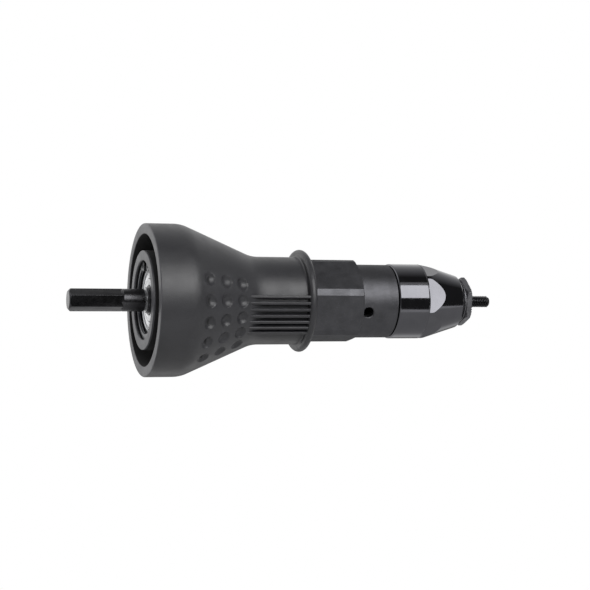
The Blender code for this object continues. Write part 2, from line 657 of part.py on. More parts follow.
def make_thrust_bearing():
    """The thrust ball bearing between the shaft's flange and the housing's web."""
    x0 = THRUST_X
    x1 = THRUST_X + THRUST_HEIGHT
    middle = (x0 + x1) / 2
    track_r = THRUST_BALL_R + BALL_GAP
    land = THRUST_HEIGHT / 2 - THRUST_WASHER_THICKNESS
    spread = math.degrees(math.acos(land / track_r))
    rear_bore = SHAFT_SMALL_R + RUN_GAP
    rear_outer = THRUST_OUTER_R - SEAT_GAP
    rear = [(x0, rear_bore), (x0, rear_outer), (middle - land, rear_outer)]
    rear += arc(middle, THRUST_PITCH_R, track_r, 180 - spread, 180 + spread, TRACK_STEPS)
    rear += [(middle - land, rear_bore)]
    add_object("thrust_washer_shaft", spun(rear, COARSE), BRIGHT_STEEL)
    front = [(x1, WEB_BORE_R), (x1, THRUST_OUTER_R), (middle + land, THRUST_OUTER_R)]
    front += arc(middle, THRUST_PITCH_R, track_r, spread, -spread, TRACK_STEPS)
    front += [(middle + land, WEB_BORE_R)]
    add_object("thrust_washer_housing", spun(front, COARSE), BRIGHT_STEEL)
    half = THRUST_CAGE_THICKNESS / 2
    plate = ring(middle - half, middle + half, THRUST_CAGE_INNER_R, THRUST_CAGE_OUTER_R)
    cage_with_balls("thrust_ball_cage", plate, middle, THRUST_PITCH_R, THRUST_BALL_R,
                    THRUST_BALLS)


def slab(angle, near, far, half_width, x0, x1):
    """A flat-sided cutter on one side of the axis, square to an angle round it."""
    corners = []
    for r, w in ((near, -half_width), (far, -half_width), (far, half_width), (near, half_width)):
        corners.append((math.hypot(r, w), angle + math.degrees(math.atan2(w, r))))
    return prism(corners, x0, x1)


def make_stop_ring():
    """The snap ring near the lead screw's end that stops the puller's way forward."""
    x0 = SCREW_END_X + RUN_GAP
    band = ring(x0, x0 + STOP_RING_THICKNESS, STOP_GROOVE_R + RUN_GAP, STOP_RING_R)
    stop = add_object("screw_stop_ring", spun(band, COARSE), SPRING_STEEL)
    combine(stop, slab(FLAT_ANGLE, 0, STOP_RING_R + PAST, STOP_RING_HALF_GAP, x0 - PAST,
                       x0 + STOP_RING_THICKNESS + PAST))


def make_puller():
    """The long nut on the lead screw, with a hexagon socket for the mandrel's head."""
    neck_x = PULLER_FRONT_X - PULLER_NECK_LENGTH
    groove_x = PULLER_X + BRAKE_RING_SETBACK
    groove_end = groove_x + BRAKE_RING_WIDTH + 2 * RUN_GAP
    groove_r = PULLER_R - BRAKE_RING_WALL - RUN_GAP
    relief_end = SCREW_END_X + PULLER_RELIEF_LENGTH
    outline = [(PULLER_X, SCREW_BORE_R), (PULLER_X, PULLER_R - EDGE), (PULLER_X + EDGE, PULLER_R),
               (groove_x, PULLER_R), (groove_x, groove_r), (groove_end, groove_r),
               (groove_end, PULLER_R), (neck_x - EDGE, PULLER_R), (neck_x, PULLER_R - EDGE),
               (neck_x, PULLER_NECK_R), (PULLER_FRONT_X, PULLER_NECK_R), (PULLER_FRONT_X, 0),
               (relief_end, 0), (relief_end, PULLER_RELIEF_R), (SCREW_END_X, PULLER_RELIEF_R),
               (SCREW_END_X, SCREW_BORE_R)]
    puller = add_object("puller", spun(outline, MEDIUM), OXIDE_STEEL)
    socket = hexagon(MANDREL_HEAD_FLATS + 2 * RUN_GAP, CASING_FLAT_ANGLE)
    combine(puller, prism(socket, MANDREL_HEAD_X, PULLER_FRONT_X + PAST))
    hole_x = SPIGOT_X - CROSS_HOLE_SETBACK
    combine(puller, drill(hole_x, FLAT_ANGLE, PULLER_RELIEF_R - PAST, PULLER_R + PAST,
                          PULLER_PIN_HOLE_R))
    brake = ring(groove_x + RUN_GAP, groove_x + RUN_GAP + BRAKE_RING_WIDTH,
                 PULLER_R - BRAKE_RING_WALL, PULLER_R)
    add_object("puller_brake_ring", spun(brake, MEDIUM), ACETAL)


def make_mandrel():
    """The threaded mandrel with its hexagon head, and the cap that holds it in the puller."""
    tip = MANDREL_END_X
    inside = MANDREL_HEAD_X + 2 * PAST
    outline = [(inside, 0), (inside, MANDREL_R), (tip - MANDREL_CHAMFER, MANDREL_R),
               (tip, MANDREL_R - MANDREL_CHAMFER), (tip, 0)]
    mandrel = add_object("mandrel", spun(outline, COARSE), OXIDE_STEEL)
    head = prism(hexagon(MANDREL_HEAD_FLATS, CASING_FLAT_ANGLE), MANDREL_HEAD_X + SEAT_GAP,
                 PULLER_FRONT_X)
    combine(mandrel, head, "UNION")
    rear = PULLER_FRONT_X - PULLER_NECK_LENGTH + SEAT_GAP
    wall = PULLER_FRONT_X + SEAT_GAP
    front = wall + CAP_WALL_LENGTH
    hole_r = MANDREL_R + SEAT_GAP
    shell = [(rear, CAP_BORE_R), (rear, CAP_R), (front - EDGE, CAP_R), (front, CAP_R - EDGE),
             (front, hole_r), (wall, hole_r), (wall, CAP_BORE_R)]
    cap = add_object("mandrel_cap", spun(shell, MEDIUM), OXIDE_STEEL)
    for side in (0, 180):
        combine(cap, slab(CASING_FLAT_ANGLE + side, CAP_FLATS / 2, CAP_R + PAST, CAP_R,
                          front - CAP_FLAT_LENGTH, front + PAST))


def make_casing():
    """The gloss sleeve on the spigot, tapered to the nosepiece, with six milled flats."""
    x0 = CASING_X
    taper_x = x0 + CASING_STRAIGHT
    nose_x = taper_x + CASING_TAPER_LENGTH
    front = CASING_FRONT_X
    nose_r = CASING_R - CASING_TAPER_DROP
    slope = CASING_TAPER_DROP / CASING_TAPER_LENGTH
    floor_x = front - CASING_FLOOR
    bore_end = HOUSING_FRONT_X + 2 * SEAT_GAP
    wall = CASING_WALL * math.hypot(1.0, slope)
    floor_r = CASING_R - slope * (floor_x - taper_x) - wall
    ring_x = x0 + O_RING_SETBACK
    half = O_RING_SECTION_R + RUN_GAP
    ring_r = SPIGOT_R + RUN_GAP + O_RING_SECTION_R
    groove_r = ring_r + half
    outline = [(x0, CASING_R - CASING_REAR_CHAMFER), (x0 + CASING_REAR_CHAMFER, CASING_R)]
    outline += blend((x0, CASING_R), (taper_x, CASING_R), (nose_x, nose_r),
                     CASING_SHOULDER_BLEND_R, 2)
    outline += [(nose_x, nose_r), (front, nose_r - CASING_NOSE_CHAMFER), (front, NOSE_HOLE_R),
                (floor_x, NOSE_HOLE_R), (floor_x, floor_r), (bore_end, CASING_BORE_R),
                (ring_x + half, CASING_BORE_R), (ring_x + half, groove_r),
                (ring_x - half, groove_r), (ring_x - half, CASING_BORE_R), (x0, CASING_BORE_R)]
    casing = add_object("front_casing", spun(outline, FINE), GLOSS_BLACK)
    flats = bmesh.new()
    for i in range(6):
        merge_into(flats, slab(CASING_FLAT_ANGLE + 60 * i, CASING_FLATS / 2, CASING_R + PAST,
                               CASING_R / 2, taper_x - CASING_FLAT_SETBACK, nose_x))
    combine(casing, flats)
    section = arc(ring_x, ring_r, O_RING_SECTION_R, 0, 300, 5)
    add_object("casing_o_ring", spun(section, MEDIUM), RUBBER, sharp=60)


def make_nosepiece():
    """The hexagonal anvil screwed into the casing, with the spring washer under it."""
    flange_x = NOSE_X + NOSE_COLLAR_LENGTH
    front = NOSE_FRONT_X
    rear = NOSE_X - NOSE_THREAD_LENGTH
    inside = flange_x + PAST
    outline = [(rear, NOSE_BORE_R), (rear, NOSE_THREAD_R - EDGE), (rear + EDGE, NOSE_THREAD_R),
               (NOSE_X, NOSE_THREAD_R), (NOSE_X, NOSE_COLLAR_R), (inside, NOSE_COLLAR_R),
               (inside, NOSE_BORE_R)]
    nose = add_object("nosepiece", spun(outline, MEDIUM), OXIDE_STEEL)
    combine(nose, prism(hexagon(NOSE_FLATS, NOSE_CORNER_ANGLE), flange_x, front), "UNION")
    combine(nose, spun([(flange_x - PAST, 0), (flange_x - PAST, NOSE_BORE_R),
                        (front + PAST, NOSE_BORE_R), (front + PAST, 0)], MEDIUM))
    corner_r = NOSE_FLATS / 2 / math.cos(math.radians(30))
    clear_r = corner_r + PAST
    for edge_x, way in ((flange_x, PAST), (front, -PAST)):
        full = edge_x + way * NOSE_CORNER_CHAMFER
        bevel = [(edge_x - way, corner_r - NOSE_CORNER_CHAMFER - NOSE_CHAMFER_DROP),
                 (edge_x - way, clear_r), (full, clear_r), (full, corner_r + RUN_GAP)]
        combine(nose, spun(bevel, COARSE))
    x0 = NOSE_WASHER_X
    washer = ring(x0, x0 + NOSE_WASHER_THICKNESS, NOSE_THREAD_R + RUN_GAP, NOSE_COLLAR_R)
    add_object("nose_washer", spun(washer, MEDIUM), SPRING_STEEL)


def group(name, x, members, parent=None):
    """An empty on the axis that carries the pieces which move together."""
    empty = bpy.data.objects.new(name, None)
    bpy.context.scene.collection.objects.link(empty)
    empty.location = (x * MM, 0, 0)
    empty.empty_display_size = 0.01
    bpy.context.view_layer.update()
    if parent:
        empty.parent = parent
        empty.matrix_parent_inverse = parent.matrix_world.inverted()
    for member in members:
        piece = bpy.data.objects[member]
        piece.parent = empty
        piece.matrix_parent_inverse = empty.matrix_world.inverted()
    bpy.context.view_layer.update()
    return empty


make_hood()
make_circlip()
make_housing()
make_drive_shaft()
make_ball_bearing()
make_thrust_bearing()
make_stop_ring()
make_puller()
make_mandrel()
make_casing()
make_nosepiece()

group("drive_axis", BEARING_X, ["drive_shaft", "bearing_inner_ring", "thrust_washer_shaft",
                                "screw_stop_ring"])
group("bearing_cage_axis", BEARING_X, ["bearing_ball_cage"])
group("thrust_cage_axis", THRUST_X, ["thrust_ball_cage"])
pull_slide = group("pull_slide", PULLER_X, ["puller_brake_ring"])
group("puller_axis", PULLER_X, ["puller", "mandrel", "mandrel_cap"], pull_slide)
casing_slide = group("casing_slide", CASING_X, ["casing_o_ring"])
casing_axis = group("casing_axis", CASING_X, ["front_casing"], casing_slide)
nose_slide = group("nose_slide", NOSE_X, ["nose_washer"], casing_axis)
group("nose_axis", NOSE_X, ["nosepiece"], nose_slide)
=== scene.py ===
"""Looks of a rivet nut tool for a cordless drill.

The tool lies along X, from the hexagonal shank to the threaded mandrel. Angles round the
axis are in degrees from the front (-Y) upwards (+Z). Sizes are metres, written with mm().
"""
import math

import bpy
from bpy.props import FloatProperty, FloatVectorProperty, IntProperty, PointerProperty
from mathutils import Matrix, Quaternion, Vector


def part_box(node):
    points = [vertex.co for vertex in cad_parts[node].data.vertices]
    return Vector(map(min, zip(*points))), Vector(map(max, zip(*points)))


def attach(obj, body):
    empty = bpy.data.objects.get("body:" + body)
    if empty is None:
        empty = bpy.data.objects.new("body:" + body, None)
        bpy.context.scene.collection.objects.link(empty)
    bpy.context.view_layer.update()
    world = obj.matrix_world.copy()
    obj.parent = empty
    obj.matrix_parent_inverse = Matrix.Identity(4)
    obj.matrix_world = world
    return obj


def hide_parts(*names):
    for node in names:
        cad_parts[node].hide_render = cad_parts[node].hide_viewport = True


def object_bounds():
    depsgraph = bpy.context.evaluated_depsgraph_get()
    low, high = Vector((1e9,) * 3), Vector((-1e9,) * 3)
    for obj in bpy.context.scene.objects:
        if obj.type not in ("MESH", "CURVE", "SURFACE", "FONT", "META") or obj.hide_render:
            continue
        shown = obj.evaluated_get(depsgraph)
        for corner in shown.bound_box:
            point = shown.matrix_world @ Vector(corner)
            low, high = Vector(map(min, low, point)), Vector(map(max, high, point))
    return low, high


bl_info = {
    "name": "Rivet nut tool",
    "version": (1, 0, 0),
    "blender": (4, 5, 0),
    "location": "3D View > Sidebar > Rivet Tool",
    "description": "Models and finishes the pieces of a rivet nut tool round its frame",
    "category": "Add Mesh",
}

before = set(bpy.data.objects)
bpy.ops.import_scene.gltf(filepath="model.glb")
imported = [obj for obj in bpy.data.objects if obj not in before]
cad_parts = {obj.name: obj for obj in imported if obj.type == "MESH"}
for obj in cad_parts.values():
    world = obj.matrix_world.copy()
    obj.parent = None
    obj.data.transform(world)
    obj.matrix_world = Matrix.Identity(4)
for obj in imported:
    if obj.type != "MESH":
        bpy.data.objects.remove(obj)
CAD_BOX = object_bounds()


def mm(size):
    return size * 0.001


def linear(code):
    """A colour written as sRGB hex, as linear values."""
    parts = [int(code[i:i + 2], 16) / 255 for i in (1, 3, 5)]
    return [c / 12.92 if c <= 0.04045 else ((c + 0.055) / 1.055) ** 2.4 for c in parts]


def ends(name):
    """Where a piece of the frame starts and ends along the axis."""
    return [corner.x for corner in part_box(name)]


# Stations along the axis, from the pieces of the frame
SEAT_GAP = mm(0.3)
RIM_X = ends("hood")[0] + mm(0.6)
LIP_FRONT_X = ends("hood")[1]
STEP_X = ends("bearing_outer_ring")[1] + SEAT_GAP
FLANGE_X = STEP_X + mm(3.0)
WEB_X = ends("thrust_washer_housing")[1] + SEAT_GAP
CAVITY_X = WEB_X + mm(6.4)
SCREW_END_X = ends("screw_stop_ring")[0] - mm(0.15)
HEX_X = LIP_FRONT_X - mm(3.3)
ROUND_X = HEX_X + mm(30.6)
SPIGOT_X = ends("front_casing")[0] - SEAT_GAP
# Length of the relief groove between the shank and its collar
RELIEF = mm(0.9)

# Facets round the axis
FINE = 192
ROUND = 128
BALL = 32
# A chamfered edge, and how far a cutter reaches past what it cuts
EDGE = mm(0.35)
BITE = mm(1.0)
# Where the grips, the cross hole and a flat of the spanner hexagon lie, and its corner
GRIP_ANGLE = -18.0
CORNER_ANGLE = GRIP_ANGLE + 30.0
# Steps between the dimples' rows and between the ribs
DIMPLE_TURN = 17.7
RIB_TURN = 7.57
# The fine thread of the casing and the nosepiece
PITCH = mm(1.5)
# How the casing's flats, the cap's flats and the mandrel's head are turned
FLAT_ANGLE = 10.0
# How much larger the radius of a track is than that of its balls
TRACK_PLAY = mm(0.25)
WHITE = (1, 1, 1, 1)


def length(label, about, default):
    return FloatProperty(name=label, description=about, default=default, unit="LENGTH",
                         precision=5)


def count(label, about, default):
    return IntProperty(name=label, description=about, default=default)


def paint(label, about, code):
    return FloatVectorProperty(name=label, description=about, default=linear(code),
                               subtype="COLOR", min=0.0, max=1.0)


class HoodSizes(bpy.types.PropertyGroup):
    """The nylon hood: its sections, grip dimples and ribs."""
    rim_x: length("Rim place", "Where the bell's rim lies", RIM_X)
    front_x: length("Front place", "Where the lip's front lies", LIP_FRONT_X)
    bell_radius: length("Bell radius", "Outer radius at the rim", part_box("hood")[1].z)
    bell_length: length("Bell length", "From the rim to the cone", mm(17.9))
    bell_blend: length("Bell blend", "Radius between bell and cone", mm(17.0))
    mouth_radius: length("Mouth radius", "Inner radius of the bell", mm(33.4))
    cone_end: length("Cone end", "From the rim to the neck", mm(55.6))
    neck_radius: length("Neck radius", "Outer radius of the neck", mm(22.55))
    neck_blend: length("Neck blend", "Radius between cone and neck", mm(20.0))
    lip_radius: length("Lip radius", "Outer radius of the lip", mm(26.4))
    lip_thickness: length("Lip thickness", "Length of the lip", mm(4.1))
    hub_radius: length("Hub radius", "Outer radius of the inner hub", mm(25.0))
    bore_radius: length("Bore radius", "Bore over the steel tube", mm(20.0))
    pocket_depth: length("Pocket depth", "Depth of the ring-shaped pocket", mm(33.0))
    wall: length("Cone wall", "Thickness of the cone", mm(4.6))
    dimple_radius: length("Dimple radius", "Radius of a finger dimple", mm(3.3))
    dimple_depth: length("Dimple depth", "Depth of a finger dimple", mm(1.75))
    rib_width: length("Rib width", "Width of a grip rib", mm(1.5))
    rib_crest: length("Rib crest", "Radius of the ribs' crests", mm(25.4))
    ribs: count("Ribs", "Grip ribs on each side", 7)


class HousingSizes(bpy.types.PropertyGroup):
    """The steel housing: tube, spanner hexagon, round front and spigot."""
    rear_x: length("Rear place", "Where the tube's rear end lies", ends("housing")[0])
    front_x: length("Front place", "Where the spigot ends", ends("housing")[1])
    tube_radius: length("Tube radius", "Tube inside the hood", mm(19.7))
    across_flats: length("Across flats", "Width of the spanner hexagon", mm(39.5))
    corner_radius: length("Corner radius", "Radius of the planed corners", mm(21.8))
    hexagon_x: length("Hexagon place", "Where the hexagon starts", HEX_X)
    round_x: length("Round place", "Where the round front starts", ROUND_X)
    round_radius: length("Round radius", "Radius of the round front", mm(19.1))
    spigot_x: length("Spigot place", "Where the threaded spigot starts", SPIGOT_X)
    spigot_radius: length("Spigot radius", "Radius of the threaded spigot", mm(16.6))
    hole_radius: length("Hole radius", "Radius of the cross hole", mm(2.7))
    hole_x: length("Hole place", "Where the cross hole lies", SPIGOT_X - mm(16.5))
    cavity_radius: length("Cavity radius", "Bore the puller slides in", mm(14.0))


class SpindleSizes(bpy.types.PropertyGroup):
    """The drive shaft: hexagonal shank, collar, journal and lead screw."""
    across_flats: length("Across flats", "Width of the shank", mm(10.0))
    hexagon_length: length("Hexagon length", "Length of the shank's flats", mm(27.1))
    tip_chamfer: length("Tip chamfer", "Chamfer at the shank's end", mm(1.6))
    round_radius: length("Round radius", "Radius behind the flats", mm(5.7))
    collar_radius: length("Collar radius", "Radius at the bearing", mm(6.4))
    screw_radius: length("Screw radius", "Radius of the lead screw", mm(7.0))
    screw_pitch: length("Screw pitch", "Pitch of the lead screw", mm(2.0))


class BearingSizes(bpy.types.PropertyGroup):
    """The ball bearing at the rear and the thrust bearing behind it."""
    bore_radius: length("Bore radius", "Bore of the inner ring", mm(7.5))
    outer_radius: length("Outer radius", "Outside of the outer ring", mm(17.5))
    inner_land: length("Inner land", "Shoulder of the inner ring", mm(10.75))
    outer_land: length("Outer land", "Shoulder of the outer ring", mm(14.4))
    ball_radius: length("Ball radius", "Radius of a ball", mm(2.95))
    balls: count("Balls", "Balls in the ball bearing", 8)
    thrust_ball_radius: length("Thrust ball radius", "Radius of a ball", mm(3.0))
    thrust_pitch_radius: length("Thrust pitch radius", "Circle of the balls", mm(11.9))
    thrust_balls: count("Thrust balls", "Balls in the thrust bearing", 10)


class FrontSizes(bpy.types.PropertyGroup):
    """The front end: casing, nosepiece and mandrel."""
    casing_x: length("Casing place", "Where the casing starts", ends("front_casing")[0])
    casing_front_x: length("Casing front", "Where the casing ends", ends("front_casing")[1])
    casing_radius: length("Casing radius", "Radius of the casing", mm(19.6))
    casing_straight: length("Casing straight", "Length before the taper", mm(19.1))
    taper_length: length("Taper length", "Length of the taper", mm(18.7))
    taper_drop: length("Taper drop", "How far the taper closes in", mm(5.7))
    nose_chamfer: length("Nose chamfer", "Chamfer at the casing's front", mm(1.4))
    casing_flats: length("Casing flats", "Width across the milled flats", mm(34.8))
    nose_x: length("Nosepiece place", "Where its collar bears", ends("nosepiece")[0] + mm(8.6))
    nose_front_x: length("Nosepiece front", "Where its face lies", ends("nosepiece")[1])
    nose_flats: length("Nosepiece flats", "Width of its hexagon", mm(22.6))
    nose_thread: length("Nosepiece thread", "Radius of its thread", mm(8.0))
    nose_bore: length("Nosepiece bore", "Radius of its bore", mm(3.4))
    serrations: count("Serrations", "Teeth on its face", 60)
    mandrel_radius: length("Mandrel radius", "Radius of the mandrel's thread", mm(3.0))
    mandrel_pitch: length("Mandrel pitch", "Pitch of the mandrel's thread", mm(1.0))
    mandrel_end_x: length("Mandrel end", "Where the mandrel ends", ends("mandrel")[1])


class FinishColours(bpy.types.PropertyGroup):
    """The colours of the finishes."""
    nylon: paint("Nylon", "Charcoal glass-filled nylon", "#303033")
    blasted: paint("Blasted steel", "Blasted and blackened steel", "#555558")
    gloss: paint("Gloss steel", "Polished and blackened steel", "#616165")
    oxide: paint("Oxide steel", "Black oxide steel", "#454547")
    bright: paint("Bearing steel", "Ground bearing steel", "#d6d7d9")
    spring: paint("Spring steel", "Phosphated spring steel", "#505154")
    brass: paint("Brass", "Pressed brass", "#c09a52")
    rubber: paint("Rubber", "Nitrile rubber", "#1b1b1c")
    acetal: paint("Acetal", "Turned acetal", "#d9d6cc")


def node(tree, kind, inputs=None, **settings):
    """Adds a shader node with its settings, and fills or links its sockets."""
    made = tree.nodes.new("ShaderNode" + kind)
    for name, value in settings.items():
        setattr(made, name, value)
    for socket, value in (inputs or {}).items():
        if isinstance(value, bpy.types.NodeSocket):
            tree.links.new(value, made.inputs[socket])
        else:
            made.inputs[socket].default_value = value
    return made


def cleared(made):
    """The emptied node tree of a new material or world."""
    made.use_nodes = True
    made.node_tree.nodes.clear()
    return made.node_tree


def grain(place, size, detail=2.0, rough=0.5):
    """Noise whose blotches are about size across, 0 to 1."""
    return node(place.id_data, "TexNoise", {
        "Vector": place, "Scale": 1.0 / size, "Detail": detail, "Roughness": rough}).outputs["Fac"]


def spread(value, low, high, to_low, to_high):
    """A value moved from one range to another, and kept in it."""
    return node(value.id_data, "MapRange", {
        "Value": value, "From Min": low, "From Max": high, "To Min": to_low,
        "To Max": to_high}).outputs[0]


def mixed(share, first, second):
    """Two colours mixed."""
    return node(share.id_data, "Mix", {0: share, 6: first, 7: second}, data_type="RGBA").outputs[2]


def between(share, first, second):
    """Two numbers mixed."""
    return node(share.id_data, "Mix", {0: share, 2: first, 3: second}).outputs[0]


def shade(rgb, factor):
    return (*[min(1.0, c * factor) for c in rgb], 1.0)


def reckon(operation, *values):
    """The result of one sum, of which the first value is another node's."""
    return node(values[0].id_data, "Math", dict(enumerate(values)), operation=operation).outputs[0]


def sum_of(*terms):
    total = terms[0]
    for term in terms[1:]:
        total = reckon("ADD", total, term)
    return total


def times(value, factor):
    return reckon("MULTIPLY", value, factor)


def axes(place):
    """The X, Y and Z of a place."""
    return node(place.id_data, "SeparateXYZ", {0: place}).outputs


def from_axis(place):
    """How far a place lies from the tool's axis."""
    tree = place.id_data
    _, y, z = axes(place)
    flat = node(tree, "CombineXYZ", {"Y": y, "Z": z}).outputs[0]
    return node(tree, "VectorMath", {0: flat}, operation="LENGTH").outputs["Value"]


def clouded(cloud, low, high, rgb, dark, pale):
    """A colour that drifts between a darker and a paler shade of itself."""
    return mixed(spread(cloud, low, high, 0.0, 1.0), shade(rgb, dark), shade(rgb, pale))


def dress(shader, tone, roughness, height, depth):
    """Links the shader's tone, its roughness and a bump whose full height is depth."""
    tree = shader.id_data
    bump = node(tree, "Bump", {"Height": height, "Distance": depth, "Strength": 1.0})
    for socket, value in (("Base Color", tone), ("Roughness", roughness),
                          ("Normal", bump.outputs["Normal"])):
        tree.links.new(value, shader.inputs[socket])


def glass_filled_nylon(shader, place, colours):
    """Moulded nylon: a dull charcoal with a spark-eroded grain and a faint mottle."""
    shader.inputs["IOR"].default_value = 1.53
    cloud = grain(place, mm(14), 3.0)
    tone = clouded(cloud, 0.35, 0.65, colours.nylon, 0.88, 1.1)
    # The glass fibres that reach the surface show as pale specks
    speck = grain(place, mm(0.45), 2.0)
    tone = mixed(spread(speck, 0.62, 0.75, 0.0, 0.5), tone, shade(colours.nylon, 1.6))
    matt = spread(grain(place, mm(6), 4.0), 0.3, 0.7, 0.36, 0.45)
    # The two halves of the mould leave a fine line along the top and the bottom
    turn = math.radians(75.0)
    side = (0, math.sin(turn), math.cos(turn))
    across = node(place.id_data, "VectorMath", {0: place, 1: side},
                  operation="DOT_PRODUCT").outputs["Value"]
    seam = spread(reckon("ABSOLUTE", across), mm(0.06), mm(0.2), 1.0, 0.0)
    tone = mixed(times(seam, 0.5), tone, shade(colours.nylon, 2.2))
    # Painted shade: the pocket inside the bell is coloured near black, and is also made rougher
    along = axes(place)["X"]
    mouth = bpy.context.scene.rivet_hood.mouth_radius + mm(0.6)
    inside = times(spread(from_axis(place), mouth, mouth + mm(0.4), 1.0, 0.0),
                   spread(along, RIM_X + mm(25), RIM_X + mm(26), 1.0, 0.0))
    inside = times(inside, spread(along, RIM_X + mm(0.1), RIM_X + mm(0.3), 0.0, 1.0))
    # The pocket's painted shade goes into the tone here
    tone = mixed(inside, tone, shade(colours.nylon, 0.15))
    matt = sum_of(matt, times(inside, 0.4))
    # Painted light: the rim and the hub's face, which face the left, are painted paler, with a
    # cloudy variation
    rim_painted_light = spread(along, RIM_X + mm(0.1), RIM_X + mm(0.5), 0.9, 0.0)
    tone = mixed(times(rim_painted_light, spread(cloud, 0.3, 0.6, 0.8, 1.0)), tone,
                 shade(colours.nylon, 3.6))
    # Spark erosion leaves pits of about 0.3 mm; they are drawn at 0.5 mm so that they show
    pits = grain(place, mm(0.5), 2.0, 0.6)
    waves = times(grain(place, mm(5), 2.0), 0.6)
    dress(shader, tone, matt, sum_of(pits, seam, waves), mm(0.05))


def blasted_black_steel(shader, place, colours):
    """Turned steel, bead blasted and blackened: even, dull, with a fine sparkle."""
    # The rough black skin stays dark even where it is seen edge on
    shader.inputs["Specular Tint"].default_value = (0.65, 0.65, 0.65, 1.0)
    tone = clouded(grain(place, mm(9), 4.0), 0.35, 0.65, colours.blasted, 0.86, 1.1)
    speck = grain(place, mm(0.35), 1.0)
    tone = mixed(spread(speck, 0.6, 0.75, 0.0, 0.7), tone, shade(colours.blasted, 1.7))
    matt = spread(grain(place, mm(4), 4.0), 0.3, 0.7, 0.43, 0.53)
    # Bead dents of about 0.1 mm, drawn at 0.35 mm so that they show
    dress(shader, tone, matt, grain(place, mm(0.35), 2.0, 0.6), mm(0.03))


def gloss_black_steel(shader, place, colours):
    """Polished and blackened steel: a black mirror with faint turning marks."""
    tone = clouded(grain(place, mm(7), 3.0), 0.3, 0.7, colours.gloss, 0.93, 1.05)
    smear = spread(grain(place, mm(3), 4.0), 0.35, 0.75, 0.07, 0.13)
    turning = node(place.id_data, "Mapping", {"Vector": place, "Scale": (1.0, 0.02, 0.02)})
    dress(shader, tone, smear, grain(turning.outputs[0], mm(0.4), 1.0), mm(0.002))


def black_oxide_steel(shader, place, colours, roughness=0.3, lift=1.0, shank=False):
    """Machined steel, oil blackened: satin, with a cloudy tone."""
    tone = clouded(grain(place, mm(5), 4.0), 0.35, 0.65, colours.oxide, 0.82 * lift, 1.12 * lift)
    matt = spread(grain(place, mm(2), 4.0), 0.3, 0.7, roughness * 0.85, roughness * 1.15)
    if shank:
        # Behind its flats the shank is duller and paler, and its relief groove is left bare
        along = axes(place)["X"]
        flats_end = bpy.context.scene.rivet_spindle.hexagon_length
        behind = reckon("GREATER_THAN", along, flats_end)
        matt = times(matt, spread(behind, 0.0, 1.0, 1.0, 1.4))
        tone = mixed(behind, tone, shade(colours.oxide, 1.3))
        start, end = RIM_X - EDGE / 2, RIM_X + RELIEF
        bare = reckon("COMPARE", along, (start + end) / 2, (end - start) / 2)
        tone = mixed(bare, tone, shade(colours.bright, 0.5))
    dress(shader, tone, matt, grain(place, mm(0.3), 2.0), mm(0.006))


def ground_bearing_steel(shader, place, colours):
    """Hardened and ground chrome steel: bright, with fine rings from the grinding wheel."""
    waves = {"W": from_axis(place), "Scale": 1.0 / mm(0.25), "Detail": 2.0}
    rings = node(place.id_data, "TexNoise", waves, noise_dimensions="1D").outputs["Fac"]
    tone = clouded(grain(place, mm(4), 3.0), 0.3, 0.7, colours.bright, 0.92, 1.0)
    dress(shader, tone, spread(rings, 0.3, 0.7, 0.16, 0.3), rings, mm(0.003))


def plain_metal(shader, place, colours, which, size):
    """A rolled or pressed metal with a soft mottle in its tone and its gloss."""
    cloud = grain(place, size, 4.0)
    tone = clouded(cloud, 0.3, 0.7, getattr(colours, which), 0.85, 1.1)
    dress(shader, tone, spread(cloud, 0.3, 0.7, 0.36, 0.255),
          grain(place, mm(0.3), 2.0), mm(0.005))


def plain_polymer(shader, place, colours, which, roughness, size, ior):
    """A moulded or turned polymer with a soft mottle."""
    shader.inputs["IOR"].default_value = ior
    cloud = grain(place, size, 3.0)
    tone = clouded(cloud, 0.3, 0.7, getattr(colours, which), 0.9, 1.08)
    matt = spread(cloud, 0.3, 0.7, roughness * 0.9, roughness * 1.1)
    dress(shader, tone, matt, grain(place, mm(0.3), 2.0), mm(0.01))


# Each material: its slot, how metallic it is, the function that dresses it and its settings
LOOKS = {
    "glass_filled_nylon": ("hood_nylon", 0.0, glass_filled_nylon),
    "blasted_black_steel": ("blasted_steel", 1.0, blasted_black_steel),
    "gloss_black_steel": ("gloss_steel", 1.0, gloss_black_steel),
    "black_oxide_steel": ("oxide_steel", 1.0, black_oxide_steel),
    "black_oxide_thread": ("oxide_steel", 1.0, black_oxide_steel, 0.27),
    "black_oxide_nose": ("oxide_steel", 1.0, black_oxide_steel, 0.52, 3.0),
    "black_oxide_shaft": ("oxide_steel", 1.0, black_oxide_steel, 0.21, 1.0, True),
    "ground_bearing_steel": ("bearing_steel", 1.0, ground_bearing_steel),
    "phosphated_spring_steel": ("spring_steel", 1.0, plain_metal, "spring", mm(3)),
    "pressed_brass": ("cage_brass", 1.0, plain_metal, "brass", mm(2)),
    "nitrile_rubber": ("seal_rubber", 0.0, plain_polymer, "rubber", 0.6, mm(3), 1.52),
    "turned_acetal": ("ring_acetal", 0.0, plain_polymer, "acetal", 0.4, mm(5), 1.48),
}


def new_material(name):
    """A material of LOOKS, with its shader and the place that its patterns read."""
    made = bpy.data.materials.new(name)
    made.use_nodes = True
    metallic, dress_up, *settings = LOOKS[name][1:]
    shader = made.node_tree.nodes["Principled BSDF"]
    shader.inputs["Metallic"].default_value = metallic
    place = node(made.node_tree, "TexCoord").outputs["Object"]
    dress_up(shader, place, bpy.context.scene.rivet_colours, *settings)
    return made


def deselect():
    if bpy.context.object and bpy.context.object.mode != "OBJECT":
        bpy.ops.object.mode_set(mode="OBJECT")
    bpy.ops.object.select_all(action="DESELECT")


def only(piece):
    """Selects one piece and makes it active."""
    deselect()
    piece.select_set(True)
    bpy.context.view_layer.objects.active = piece


def added(name, kind, **settings):
    """What one of Blender's operators adds to the scene, under a name."""
    deselect()
    kind(**settings)
    made = bpy.context.object
    made.name = made.data.name = name
    return made


